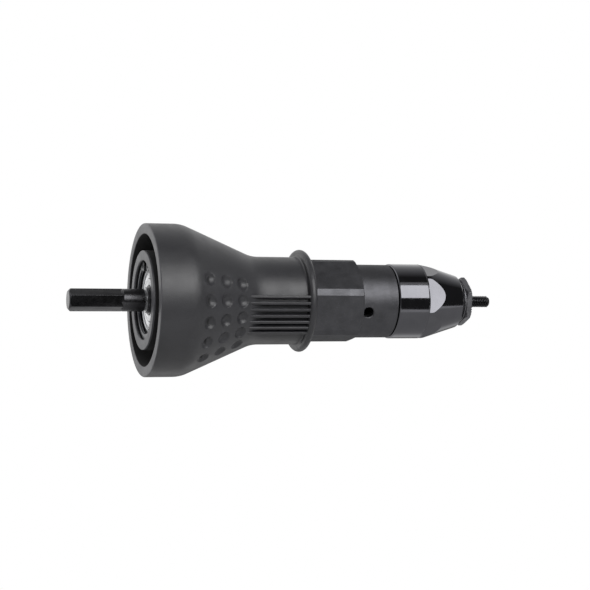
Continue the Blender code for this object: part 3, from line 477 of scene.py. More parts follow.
def edit(piece, *steps):
    """Runs edit mode operators on all of a piece."""
    only(piece)
    bpy.ops.object.mode_set(mode="EDIT")
    bpy.ops.mesh.select_all(action="SELECT")
    for step, settings in steps:
        getattr(bpy.ops.mesh, step)(**settings)
    bpy.ops.object.mode_set(mode="OBJECT")


def edit_chosen(piece, parts, wanted, step, settings):
    """Runs one edit mode operator on those faces or edges of a piece that are wanted."""
    only(piece)
    bpy.ops.object.mode_set(mode="EDIT")
    bpy.ops.mesh.select_all(action="DESELECT")
    bpy.ops.object.mode_set(mode="OBJECT")
    for part in parts:
        part.select = wanted(part)
    bpy.ops.object.mode_set(mode="EDIT")
    getattr(bpy.ops.mesh, step)(**settings)
    bpy.ops.object.mode_set(mode="OBJECT")


CLEAN = (("select_all", {"action": "SELECT"}),
         ("remove_doubles", {"threshold": mm(0.001)}),
         ("delete_loose", {}),
         ("select_all", {"action": "SELECT"}),
         ("normals_make_consistent", {"inside": False}))


def arc(x, radius, bend, first, last, count):
    """Points of a round stretch of an outline, angles from +x towards +radius."""
    turns = [math.radians(first + (last - first) * i / count) for i in range(count + 1)]
    return [(x + bend * math.cos(t), radius + bend * math.sin(t)) for t in turns]


def blend(before, corner, after, bend, count):
    """The corner of an outline rounded with an arc that touches both of its sides."""
    corner = Vector(corner)
    back = (Vector(before) - corner).normalized()
    ahead = (Vector(after) - corner).normalized()
    half = math.acos(max(-1.0, min(1.0, back.dot(ahead)))) / 2
    centre = corner + (back + ahead).normalized() * bend / math.sin(half)
    start = corner + back * bend / math.tan(half) - centre
    end = corner + ahead * bend / math.tan(half) - centre
    sweep = start.angle_signed(end)
    points = []
    for i in range(count + 1):
        spoke = start.copy()
        spoke.rotate(Matrix.Rotation(-sweep * i / count, 2))
        points.append(tuple(centre + spoke))
    return points


def stair(x, radius, *turns):
    """Points of an outline that runs along the axis and square to it by turns."""
    points = [(x, radius)]
    for i, turn in enumerate(turns):
        x, radius = (x, turn) if i % 2 else (turn, radius)
        points.append((x, radius))
    return points


def divided(start, end, parts):
    """Points that divide a straight side of an outline into equal parts."""
    return [tuple(Vector(start).lerp(Vector(end), i / parts)) for i in range(parts + 1)]


def row(start, end, step):
    """Points along a straight side of an outline, no further apart than a step."""
    return divided(start, end, math.ceil((Vector(end) - Vector(start)).length / step))


def turned(name, outline, steps=ROUND):
    """A closed outline of (x, radius) points spun about the tool's axis."""
    piece = added(name, bpy.ops.mesh.primitive_circle_add, vertices=len(outline), radius=BITE)
    for vertex, (x, radius) in zip(piece.data.vertices, outline):
        vertex.co = (x, -radius, 0)
    edit(piece, ("spin", {"steps": steps, "angle": math.tau, "center": (0, 0, 0),
                          "axis": (1, 0, 0)}), *CLEAN)
    return piece


def flat_ring(name, x0, x1, inner, outer, bend, steps=ROUND):
    """A ring of rectangular section, with its edges rounded."""
    corners = [(x0, inner), (x0, outer), (x1, outer), (x1, inner)]
    outline = []
    for i, corner in enumerate(corners):
        outline += blend(corners[i - 1], corner, corners[(i + 1) % 4], bend, 2)
    return turned(name, outline, steps)


def cylinder(name, sides, radius, x0, x1, y=0.0, z=0.0):
    """A cylinder, or a bar with flat sides, parallel to the axis."""
    piece = added(name, bpy.ops.mesh.primitive_cylinder_add, vertices=sides, radius=radius,
                  depth=x1 - x0, location=((x0 + x1) / 2, y, z), rotation=(0, math.pi / 2, 0))
    bpy.ops.object.transform_apply()
    return piece


def corner_reach(across_flats):
    """How far a hexagon's corners lie from its middle."""
    return across_flats / 2 / math.cos(math.pi / 6)


def hexagon_bar(name, reach, x0, x1, corner_angle, soften=0.0):
    """A hexagonal bar along the axis, from its corners' reach and one corner's angle."""
    piece = cylinder(name, 6, reach, x0, x1)
    # Turned so that a corner lies at the asked angle
    corner = max(piece.data.vertices, key=lambda v: v.co.z).co
    found = math.degrees(math.atan2(corner.z, -corner.y))
    swing(piece, corner_angle - found)
    if soften:
        spots = piece.data.vertices

        def lies_along(side):
            a, b = side.vertices
            return abs(spots[a].co.x - spots[b].co.x) > (x1 - x0) / 2

        edit_chosen(piece, piece.data.edges, lies_along, "bevel",
                    {"offset": soften, "segments": 3, "affect": "EDGES"})
    return piece


def block(name, x0, x1, near, far, width, angle, soften=0.0):
    """A box between two distances from the axis, swung round it to an angle."""
    piece = added(name, bpy.ops.mesh.primitive_cube_add, size=1,
                  location=((x0 + x1) / 2, -(near + far) / 2, 0),
                  scale=(x1 - x0, far - near, width))
    bpy.ops.object.transform_apply()
    if soften:
        edit(piece, ("bevel", {"offset": soften, "segments": 3, "affect": "EDGES"}))
    swing(piece, angle)
    return piece


def swing(piece, angle):
    """Turns a piece about the axis, from the front upwards."""
    only(piece)
    piece.rotation_euler = (-math.radians(angle), 0, 0)
    bpy.ops.object.transform_apply()


def square_to_axis(tool, x):
    """Turns a tool that lies along the axis to point out of it, at the grips' angle."""
    tool.rotation_euler = (0, 0, -math.pi / 2)
    tool.location = (x, 0, 0)
    bpy.ops.object.transform_apply()
    swing(tool, GRIP_ANGLE)
    return tool


def copies(piece, angles):
    """A piece repeated at more angles round the axis, joined into it."""
    made = []
    for angle in angles:
        other = piece.copy()
        other.data = piece.data.copy()
        bpy.context.scene.collection.objects.link(other)
        swing(other, angle)
        made.append(other)
    only(piece)
    for other in made:
        other.select_set(True)
    bpy.ops.object.join()
    return piece


def combined(piece, tool, operation="DIFFERENCE"):
    """Cuts or joins a piece with a tool, which is used up."""
    only(piece)
    step = piece.modifiers.new("combine", "BOOLEAN")
    step.operation = operation
    step.solver = "EXACT"
    step.object = tool
    bpy.ops.object.modifier_apply(modifier=step.name)
    bpy.data.objects.remove(tool, do_unlink=True)


def threaded(piece, x0, x1, radius, pitch, depth, run_out=1.2):
    """Winds a thread into a turned surface that has several rings of points per pitch."""
    slack, closeness = mm(0.001), mm(0.02)
    for vertex in piece.data.vertices:
        x, y, z = vertex.co
        reach = math.hypot(y, z)
        if not (x0 - slack <= x <= x1 + slack and abs(reach - radius) < closeness):
            continue
        phase = (x / pitch - math.atan2(z, -y) / math.tau) % 1.0
        # A groove with straight flanks, and narrow flats at its root and its crest
        groove = max(0.0, min(1.0, 1.35 * (1 - abs(2 * phase - 1)) - 0.17))
        share = min(1.0, (x - x0) / pitch)
        if run_out:
            share = min(share, (x1 - x) / (pitch * run_out))
        scale = (radius - depth * groove * max(0.0, share)) / reach
        vertex.co.y *= scale
        vertex.co.z *= scale


def settle(piece, body, replaced, look, angle=32.0):
    """Finishes a piece: its shading, its material, the body it rides on and its nodes."""
    only(piece)
    bpy.ops.object.shade_smooth_by_angle(angle=math.radians(angle))
    piece.data.materials.clear()
    piece.data.materials.append(bpy.data.materials.get(look) or new_material(look))
    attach(piece, body)
    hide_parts(*replaced)


class PieceOperator(bpy.types.Operator):
    """Base of the operators that model a piece."""
    bl_options = {"REGISTER", "UNDO"}

    def execute(self, context):
        self.make(context.scene)
        return {"FINISHED"}


class RIVET_OT_hood(PieceOperator):
    """Models the moulded hood with its hub, pocket, dimples, ribs and lip"""
    bl_idname = "rivet.hood"
    bl_label = "Hood"

    def outline(self, s):
        """The section: over the outside to the lip, back through the bore, round the pocket."""
        x, bore, hub = s.rim_x, s.bore_radius, s.hub_radius
        lip_x = s.front_x - s.lip_thickness
        slope = (s.neck_radius - s.bell_radius) / (s.cone_end - s.bell_length)
        floor_x = x + s.pocket_depth
        floor_r = max(hub + BITE, s.bell_radius + slope * (s.pocket_depth - s.bell_length)
                      - s.wall * math.hypot(1.0, slope))
        wall_end = (x + mm(15.0), s.mouth_radius - mm(0.6))
        shoulder, neck = (x + s.bell_length, s.bell_radius), (x + s.cone_end, s.neck_radius)
        root = (lip_x, s.neck_radius)
        rim, lip, fillet = mm(0.6), s.lip_thickness / 2, mm(0.4)
        points = arc(x + rim, s.bell_radius - rim, rim, 180, 90, 4)
        points += blend((x, s.bell_radius), shoulder, neck, s.bell_blend, 14)
        points += blend(shoulder, neck, root, s.neck_blend, 10)
        points += blend(neck, root, (lip_x, s.lip_radius), mm(0.8), 4)
        points += arc(lip_x + lip, s.lip_radius - lip, lip, 180, 0, 16)
        # The snap ring's groove, and the hub's face, which stands a little proud of the rim
        clip0, clip1 = ends("hub_circlip")
        play, face = mm(0.15), x - mm(0.6)
        points += stair(s.front_x, bore, clip1 + play, bore + mm(1.4), clip0 - play, bore,
                        face + EDGE)
        points += [(face, bore + EDGE)]
        points += blend((face, bore), (face, hub), (x + BITE, hub), mm(0.25), 3)
        points += blend((x, hub), (floor_x, hub), (floor_x, floor_r), fillet, 3)
        points += blend((floor_x, hub), (floor_x, floor_r), wall_end, fillet, 3)
        points += [wall_end]
        return points + arc(x + fillet, s.mouth_radius + fillet, fillet, 270, 180, 3)

    def press_dimples(self, hood, s):
        """Presses shallow round dents into the cone, in rows on both sides."""
        run, drop = s.cone_end - s.bell_length, s.bell_radius - s.neck_radius
        lean = math.atan2(drop, run)
        spots = []
        for side in (0, 180):
            for column in range(3):
                offset = mm(25.6) + mm(9.35) * column
                reach = s.bell_radius - drop * (offset - s.bell_length) / run
                for place in range(-2, 3):
                    turn = math.radians(GRIP_ANGLE + side + DIMPLE_TURN * place)
                    out = Vector((0, -math.cos(turn), math.sin(turn)))
                    spot = Vector((s.rim_x + offset, 0, 0)) + out * reach
                    spots.append((spot, out * math.cos(lean) + Vector((math.sin(lean), 0, 0))))
        for vertex in hood.data.vertices:
            if vertex.co.yz.length < s.neck_radius + mm(0.5):
                continue
            for spot, normal in spots:
                away = (vertex.co - spot).length / s.dimple_radius
                if away < 1:
                    vertex.co -= normal * s.dimple_depth * (1 - away ** 2) ** 0.8
                    break

    def make(self, scene):
        s = scene.rivet_hood
        outline = self.outline(s)
        # The cone gets a fine grid, so that the dimples come out round
        dense = []
        for point, after in zip(outline, outline[1:] + outline[:1]):
            dense.append(point)
            on_cone = min(point[1], after[1]) > s.neck_radius
            span = after[0] - point[0]
            if on_cone and span > mm(5) and point[0] > s.rim_x + s.bell_length / 2:
                dense += divided(point, after, math.ceil(span / mm(0.36)))[1:-1]
        hood = turned("hood_moulding", dense, 420)
        self.press_dimples(hood, s)
        down = (s.bell_radius - s.rib_crest) / (s.bell_radius - s.neck_radius)
        start = s.rim_x + s.bell_length + down * (s.cone_end - s.bell_length) - mm(0.5)
        end = s.front_x - s.lip_thickness / 2
        rib = block("rib", start, end, s.neck_radius - mm(0.8), s.rib_crest, s.rib_width,
                    GRIP_ANGLE - RIB_TURN * (s.ribs - 1) / 2, mm(0.42))
        copies(rib, [side + RIB_TURN * i for side in (0, 180) for i in range(s.ribs)][1:])
        combined(hood, rib, "UNION")
        reach = corner_reach(scene.rivet_housing.across_flats + mm(0.6))
        combined(hood, hexagon_bar("pocket", reach, s.front_x - mm(3.6), s.front_x + BITE,
                                   CORNER_ANGLE, mm(1.2)))
        settle(hood, "housing", ["hood"], "glass_filled_nylon", 24.0)


class RIVET_OT_circlip(PieceOperator):
    """Models the snap ring in the hub, open at the top, with its two eyes"""
    bl_idname = "rivet.circlip"
    bl_label = "Hub snap ring"

    def make(self, scene):
        x0, x1 = ends("hub_circlip")
        ring = flat_ring("hub_snap_ring", x0, x1, mm(17.1), mm(21.1), mm(0.12), FINE)
        for side in (-1, 1):
            turn = math.radians(90 + side * 16.5)
            spot = Vector((-math.cos(turn), math.sin(turn))) * mm(17.7)
            combined(ring, cylinder("lug", 40, mm(2.35), x0, x1, *spot), "UNION")
            combined(ring, cylinder("eye", 40, mm(1.2), x0 - BITE, x1 + BITE, *spot))
        combined(ring, block("gap", x0 - BITE, x1 + BITE, mm(13.5), mm(23.5), mm(6.2), 90.0))
        settle(ring, "housing", ["hub_circlip"], "phosphated_spring_steel")


class RIVET_OT_housing(PieceOperator):
    """Models the steel housing: tube, spanner hexagon, round front, spigot and cross hole"""
    bl_idname = "rivet.housing"
    bl_label = "Housing"

    def make(self, scene):
        s = scene.rivet_housing
        start, end = s.spigot_x + mm(0.6), s.front_x - EDGE
        seat, root = mm(17.8), s.spigot_radius - mm(0.8)
        outline = [(s.rear_x, seat + EDGE), (s.rear_x, s.tube_radius - EDGE),
                   (s.rear_x + EDGE, s.tube_radius), (s.hexagon_x + BITE, s.tube_radius),
                   (s.round_x - BITE, s.round_radius), (s.spigot_x - mm(0.5), s.round_radius),
                   (s.spigot_x, s.round_radius - mm(0.5)), (s.spigot_x, root),
                   (s.spigot_x + mm(0.5), root)]
        outline += row((start, s.spigot_radius), (end, s.spigot_radius), PITCH / 8)
        outline += [(s.front_x, s.spigot_radius - EDGE), (s.front_x, s.cavity_radius + EDGE)]
        outline += stair(end, s.cavity_radius, CAVITY_X, mm(8.6), WEB_X, mm(16.3), STEP_X, seat,
                         s.rear_x + EDGE)
        housing = turned("steel_housing", outline, FINE)
        threaded(housing, start, end, s.spigot_radius, PITCH, PITCH / 2)
        combined(housing, self.hexagon(s), "UNION")
        sink = mm(0.55)
        near, far = s.cavity_radius - BITE, s.round_radius + sink
        drill = turned("drill", [(near, 0), (near, s.hole_radius),
                                 (s.round_radius - sink, s.hole_radius),
                                 (far, s.hole_radius + 2 * sink), (far, 0)], 64)
        combined(housing, square_to_axis(drill, s.hole_x))
        settle(housing, "housing", ["housing"], "blasted_black_steel", 9.0)

    def hexagon(self, s):
        """The spanner hexagon, with its corners planed off and its front chamfered."""
        corner = corner_reach(s.across_flats)
        hexagon = hexagon_bar("hexagon", corner, s.hexagon_x, s.round_x, CORNER_ANGLE)
        back, front, rear = s.round_x - mm(1.4), s.round_x + BITE, s.hexagon_x - BITE
        for i in range(6):
            combined(hexagon, block("planer", rear, front, s.corner_radius, corner + BITE,
                                    mm(12), CORNER_ANGLE + 60 * i))
        low, clear, bore = s.round_radius + mm(0.2), s.corner_radius + 2 * BITE, mm(17)
        combined(hexagon, turned("chamfer", [
            (back, s.corner_radius + mm(0.4)), (s.round_x, low), (front, low), (front, clear),
            (back, clear)], FINE))
        combined(hexagon, turned("bore", [(rear, 0), (rear, bore), (front, bore), (front, 0)],
                                 FINE))
        return hexagon


class RIVET_OT_spindle(PieceOperator):
    """Models the drive shaft: shank, collar, journal, flange and lead screw"""
    bl_idname = "rivet.spindle"
    bl_label = "Drive shaft"

    def make(self, scene):
        s = scene.rivet_spindle
        rim, small, tip = scene.rivet_hood.rim_x, EDGE / 2, ends("drive_shaft")[1]
        groove, flange, flange_end = mm(5.3), mm(14.0), FLANGE_X + mm(4.0)
        root, end_chamfer = s.screw_radius - mm(1.0), mm(0.8)
        blunt_x = s.hexagon_length - mm(1.6)
        outline = [(blunt_x, 0), (blunt_x, s.across_flats / 2 - mm(0.3)),
                   (s.hexagon_length, s.round_radius - mm(0.15)),
                   (s.hexagon_length + mm(0.3), s.round_radius), (rim - small, s.round_radius),
                   (rim, s.round_radius - small)]
        outline += stair(rim, groove, rim + RELIEF, s.collar_radius - small)
        outline += stair(rim + RELIEF + small, s.collar_radius, ends("housing")[0], mm(7.35),
                         STEP_X, mm(9.6), FLANGE_X, flange - EDGE)
        outline += [(FLANGE_X + EDGE, flange), (flange_end - EDGE, flange)]
        outline += stair(flange_end, flange - EDGE, flange_end, mm(7.6), CAVITY_X, root,
                         CAVITY_X + mm(0.8))[1:]
        start = CAVITY_X + mm(1.6)
        outline += row((start, s.screw_radius), (SCREW_END_X, s.screw_radius), s.screw_pitch / 10)
        outline += stair(SCREW_END_X, mm(5.8), SCREW_END_X + mm(1.8), s.screw_radius,
                         tip - end_chamfer)
        outline += [(tip, s.screw_radius - end_chamfer), (tip, 0)]
        spindle = turned("drive_spindle", outline)
        threaded(spindle, start, SCREW_END_X, s.screw_radius, s.screw_pitch, mm(1.05))
        corner = corner_reach(s.across_flats)
        shank = hexagon_bar("shank", corner, 0, s.hexagon_length, 24.4, mm(0.16))
        combined(shank, turned("tip", [
            (-BITE, corner - s.tip_chamfer - BITE * 0.6), (-BITE, corner + BITE),
            (s.tip_chamfer + mm(0.6), corner + BITE)], 96))
        combined(spindle, shank, "UNION")
        settle(spindle, "drive", ["drive_shaft"], "black_oxide_shaft", 9.0)
        x0, x1 = ends("screw_stop_ring")
        stop = flat_ring("spindle_stop_ring", x0, x1, mm(5.95), mm(8.5), mm(0.1), 96)
        combined(stop, block("gap", x0 - BITE, x1 + BITE, 0, mm(12), mm(4.8), GRIP_ANGLE))
        settle(stop, "drive", ["screw_stop_ring"], "phosphated_spring_steel")


def add_balls(cage, x, pitch_radius, radius, total):
    """Sets balls round a cage and joins them with it."""
    ball = added("ball", bpy.ops.mesh.primitive_uv_sphere_add, segments=BALL,
                 ring_count=BALL // 2, radius=radius, location=(x, -pitch_radius, 0))
    bpy.ops.object.transform_apply()
    copies(ball, [360 * i / total for i in range(1, total)])
    combined(cage, ball, "UNION")


class RIVET_OT_ball_bearing(PieceOperator):
    """Models the rear ball bearing: two rings, two shields, the cage and its balls"""
    bl_idname = "rivet.ball_bearing"
    bl_label = "Ball bearing"

    def make(self, scene):
        s = scene.rivet_bearing
        x0, x1 = ends("bearing_outer_ring")
        middle = (x0 + x1) / 2
        pitch = (s.bore_radius + s.outer_radius) / 2
        track = s.ball_radius + TRACK_PLAY
        seat, depth, tiny = s.outer_land + mm(0.7), mm(1.15), mm(0.1)
        edge = mm(0.5)
        rise = math.degrees(math.asin((s.outer_land - pitch) / track))
        outer = [(x0, seat + tiny), (x0, s.outer_radius - edge)]
        outer += arc(x0 + edge, s.outer_radius - edge, edge, 180, 90, 4)[1:]
        outer += arc(x1 - edge, s.outer_radius - edge, edge, 90, 0, 4)
        outer += [(x1, seat), (x1 - depth, seat), (x1 - depth, s.outer_land)]
        outer += arc(middle, pitch, track, rise, 180 - rise, 14)
        outer += [(x0 + depth, s.outer_land), (x0 + depth, seat), (x0 + tiny, seat)]
        race = turned("bearing_outer_race", outer)
        settle(race, "housing", ["bearing_outer_ring"], "ground_bearing_steel")
        edge = mm(0.4)
        fall = math.degrees(math.asin((s.inner_land - pitch) / track))
        inner = arc(x0 + edge, s.bore_radius + edge, edge, 180, 270, 3)
        inner += arc(x1 - edge, s.bore_radius + edge, edge, 270, 360, 3)
        inner += [(x1, s.inner_land - tiny), (x1 - tiny, s.inner_land)]
        inner += arc(middle, pitch, track, fall, -180 - fall, 14)
        inner += [(x0 + tiny, s.inner_land), (x0, s.inner_land - tiny)]
        race = turned("bearing_inner_race", inner)
        settle(race, "drive", ["bearing_inner_ring"], "ground_bearing_steel")
        hole, rim = s.inner_land + mm(0.3), seat - mm(0.15)
        for name, replaced, way in (("bearing_rear_cover", "bearing_rear_shield", 1),
                                    ("bearing_front_cover", "bearing_front_shield", -1)):
            face, back = ends(replaced)[::way]
            dish = face + mm(0.18) * way
            cover = turned(name, [(dish, hole), (dish, hole + mm(0.9)), (face, hole + mm(1.2)),
                                  (face, rim - mm(0.7)), (dish, rim - mm(0.5)), (dish, rim),
                                  (back, rim), (back, hole)])
            settle(cover, "housing", [replaced], "ground_bearing_steel")
        half, thin = mm(2.2), mm(0.7)
        cage = flat_ring("bearing_balls_in_cage", middle - half, middle + half, pitch - thin,
                         pitch + thin, mm(0.2))
        add_balls(cage, middle, pitch, s.ball_radius, s.balls)
        settle(cage, "bearing_cage", ["bearing_ball_cage"], "pressed_brass")


class RIVET_OT_thrust_bearing(PieceOperator):
    """Models the thrust bearing: two grooved washers and the cage with its balls"""
    bl_idname = "rivet.thrust_bearing"
    bl_label = "Thrust bearing"

    def make(self, scene):
        s = scene.rivet_bearing
        x0, x1 = ends("thrust_washer_shaft")[0], ends("thrust_washer_housing")[1]
        middle = (x0 + x1) / 2
        track = s.thrust_ball_radius + TRACK_PLAY
        land = middle - x0 - mm(3.6)
        half_turn = math.degrees(math.acos(land / track))
        for name, replaced, body, face, way, bore, rim in (
                ("thrust_shaft_washer", "thrust_washer_shaft", "drive", x0, -1, mm(7.75),
                 mm(15.7)),
                ("thrust_housing_washer", "thrust_washer_housing", "housing", x1, 1, mm(8.6),
                 mm(16.0))):
            centre = 0 if way > 0 else 180
            inside, corner = middle + way * land, face - way * EDGE
            outline = [(face, bore + EDGE), (face, rim - EDGE), (corner, rim), (inside, rim)]
            outline += arc(middle, s.thrust_pitch_radius, track, centre + way * half_turn,
                           centre - way * half_turn, 14)
            washer = turned(name, outline + [(inside, bore), (corner, bore)])
            settle(washer, body, [replaced], "ground_bearing_steel")
        half = mm(1.1)
        cage = flat_ring("thrust_balls_in_cage", middle - half, middle + half, mm(9.3), mm(14.9),
                         mm(0.2))
        add_balls(cage, middle, s.thrust_pitch_radius, s.thrust_ball_radius, s.thrust_balls)
        settle(cage, "thrust_cage", ["thrust_ball_cage"], "pressed_brass")


class RIVET_OT_puller(PieceOperator):
    """Models the puller on the lead screw and its brake ring"""
    bl_idname = "rivet.puller"
    bl_label = "Puller"

    def make(self, scene):
        x0, x1 = ends("puller")
        ring_x0, ring_x1 = ends("puller_brake_ring")
        gap, radius, neck, nut = mm(0.15), mm(13.85), mm(9.6), mm(7.15)
        neck_x, start, end = x1 - mm(10.3), x1 - mm(9.5), x1 - EDGE
        pitch = mm(1.0)
        outline = [(x0, nut + EDGE), (x0, radius - EDGE)]
        outline += stair(x0 + EDGE, radius, ring_x0 - gap, mm(12.2), ring_x1 + gap, radius,
                         neck_x - EDGE)
        outline += [(neck_x, radius - EDGE), (neck_x, neck)]
        outline += row((start, neck), (end, neck), pitch / 8)
        outline += [(x1, neck - EDGE)] + stair(x1, 0, SCREW_END_X + mm(32), mm(9.2), SCREW_END_X,
                                               nut, x0 + EDGE)
        puller = turned("pull_nut", outline)
        threaded(puller, start, end, neck, pitch, pitch / 2)
        combined(puller, hexagon_bar("socket", corner_reach(mm(11.3)), x1 - mm(6.5), x1 + BITE,
                                     FLAT_ANGLE))
        hole = cylinder("hole", 48, mm(2.6), mm(8), mm(16))
        combined(puller, square_to_axis(hole, scene.rivet_housing.hole_x))
        settle(puller, "puller", ["puller"], "black_oxide_steel")
        brake = flat_ring("pull_nut_brake_ring", ring_x0, ring_x1, mm(12.35), radius, mm(0.2))
        settle(brake, "puller_ring", ["puller_brake_ring"], "turned_acetal")


class RIVET_OT_mandrel(PieceOperator):
    """Models the threaded mandrel with its hexagon head, and the cap that holds it"""
    bl_idname = "rivet.mandrel"
    bl_label = "Mandrel"

    def make(self, scene):
        s = scene.rivet_front
        head_x, puller_end, tip = ends("mandrel")[0], ends("puller")[1], s.mandrel_end_x
        radius, chamfer = s.mandrel_radius, mm(0.75)
        start, end = puller_end + mm(4.5), tip - chamfer
        outline = [(head_x + mm(2), 0), (head_x + mm(2), radius)]
        outline += row((start, radius), (end, radius), s.mandrel_pitch / 10)
        outline += [(tip, radius - chamfer), (tip, 0)]
        mandrel = turned("threaded_mandrel", outline, 72)
        threaded(mandrel, start, end, radius, s.mandrel_pitch, mm(0.58), 0)
        combined(mandrel, hexagon_bar("head", corner_reach(mm(11.0)), head_x, puller_end,
                                      FLAT_ANGLE, mm(0.3)), "UNION")
        settle(mandrel, "puller", ["mandrel"], "black_oxide_thread", 45.0)
        x0, x1 = ends("mandrel_cap")
        outside, inside, hole = mm(12.2), mm(9.9), mm(3.3)
        outline = [(x0, inside), (x0, outside - EDGE), (x0 + EDGE, outside),
                   (x1 - mm(0.5), outside), (x1, outside - mm(0.5)), (x1, hole + EDGE)]
        outline += stair(x1 - EDGE, hole, puller_end + mm(0.3), inside)
        cap = turned("mandrel_retaining_cap", outline)
        flat = block("flat", x1 - mm(6), x1 + BITE, mm(11), mm(15), mm(26), FLAT_ANGLE)
        combined(cap, copies(flat, [180.0]))
        settle(cap, "puller", ["mandrel_cap"], "black_oxide_steel")


class RIVET_OT_casing(PieceOperator):
    """Models the gloss casing with its taper and six milled flats, and its seal"""
    bl_idname = "rivet.casing"
    bl_label = "Casing"

    def make(self, scene):
        s = scene.rivet_front
        x0, front, radius = s.casing_x, s.casing_front_x, s.casing_radius
        taper_x = x0 + s.casing_straight
        nose_x = taper_x + s.taper_length
        slope = s.taper_drop / s.taper_length
        floor_x = front - mm(9.4)
        floor_r = radius - slope * (floor_x - taper_x) - mm(3.2) * math.hypot(1.0, slope)
        bore, hole, round_over = mm(16.9), mm(8.3), mm(0.9)
        seal_x, seal_r, half = x0 + mm(3.4), mm(17.35), mm(0.75)
        outline = [(x0, radius - round_over)]
        outline += arc(x0 + round_over, radius - round_over, round_over, 170, 90, 14)
        # A fine turned line marks where the flats begin
        mark, width = taper_x - mm(2.65), mm(0.3)
        outline += [(mark - width, radius), (mark, radius - mm(0.14)), (mark + width, radius)]
        corners = [(x0, radius), (taper_x, radius), (nose_x, radius - s.taper_drop),
                   (front, radius - s.taper_drop - s.nose_chamfer), (front, hole)]
        for i, (bend, parts) in enumerate(((mm(7.0), 10), (mm(0.4), 3), (mm(0.15), 2))):
            outline += blend(*corners[i:i + 3], bend, parts)
        outline += [(front, hole + EDGE), (front - EDGE, hole), (floor_x, hole),
                    (floor_x, floor_r), (ends("housing")[1] + mm(0.6), bore)]
        outline += stair(seal_x + half, bore, seal_x + half, seal_r + half, seal_x - half, bore,
                         x0 + EDGE)[1:]
        casing = turned("nose_casing", outline + [(x0, bore + EDGE)], FINE)
        apothem = s.casing_flats / 2
        flat = block("flat", taper_x - mm(2.2), nose_x, apothem, apothem + mm(6), mm(24),
                     FLAT_ANGLE)
        combined(casing, copies(flat, [60.0 * i for i in range(1, 6)]))
        settle(casing, "casing", ["front_casing"], "gloss_black_steel", 7.0)
        seal = turned("casing_seal_ring", arc(seal_x, seal_r, mm(0.6), 0, 345, 23))
        settle(seal, "casing_ring", ["casing_o_ring"], "nitrile_rubber", 60.0)


class RIVET_OT_nosepiece(PieceOperator):
    """Models the hexagonal nosepiece with its serrated face, and its spring washer"""
    bl_idname = "rivet.nosepiece"
    bl_label = "Nosepiece"

    def make(self, scene):
        s = scene.rivet_front
        rear, front, bore = ends("nosepiece")[0], s.nose_front_x, s.nose_bore
        flange_x, collar, root = s.nose_x + mm(0.7), mm(11.0), s.nose_thread - mm(0.8)
        start, end = rear + mm(0.5), s.nose_x - mm(0.9)
        outline = [(rear, bore), (rear, s.nose_thread - mm(0.5))]
        outline += row((start, s.nose_thread), (end, s.nose_thread), PITCH / 8)
        outline += stair(s.nose_x - mm(0.6), root, s.nose_x, collar, flange_x + BITE, bore)
        nose = turned("anvil_nosepiece", outline)
        threaded(nose, start, end, s.nose_thread, PITCH, PITCH / 2)
        corner = corner_reach(s.nose_flats)
        clear = corner + BITE
        hexagon = hexagon_bar("hexagon", corner, flange_x, front, 22.0, mm(0.25))
        for edge, way in ((flange_x, 1), (front, -1)):
            off, over = edge - way * BITE, edge + way * mm(0.9)
            combined(hexagon, turned("bevel", [(off, corner - mm(2.9)), (off, clear),
                                               (over, clear), (over, corner + mm(0.1))]))
        combined(hexagon, turned("bore", [
            (flange_x - BITE, 0), (flange_x - BITE, bore), (front - mm(0.3), bore),
            (front + BITE, bore + mm(1.3)), (front + BITE, 0)], 96))
        combined(nose, hexagon, "UNION")
        combined(nose, self.crown(s, front, clear))
        settle(nose, "nosepiece", ["nosepiece"], "black_oxide_nose", 9.0)
        washer = flat_ring("nose_spring_washer", *ends("nose_washer"), mm(8.15), collar, mm(0.12))
        settle(washer, "nose_washer", ["nose_washer"], "phosphated_spring_steel")

    def crown(self, s, front, outer):
        """A ring with V teeth on its rear face, which cuts the serrations."""
        inner, depth, steps = mm(9.6), mm(0.5), 2 * s.serrations
        crown = turned("crown", [(front - depth, inner), (front - depth, outer),
                                 (front + BITE, outer), (front + BITE, inner)], steps)
        for vertex in crown.data.vertices:
            place = round(math.atan2(vertex.co.z, -vertex.co.y) / math.tau * steps)
            if vertex.co.x < front and place % 2:
                vertex.co.x = front + mm(0.02)
        edit(crown, ("quads_convert_to_tris", {}))
        return crown


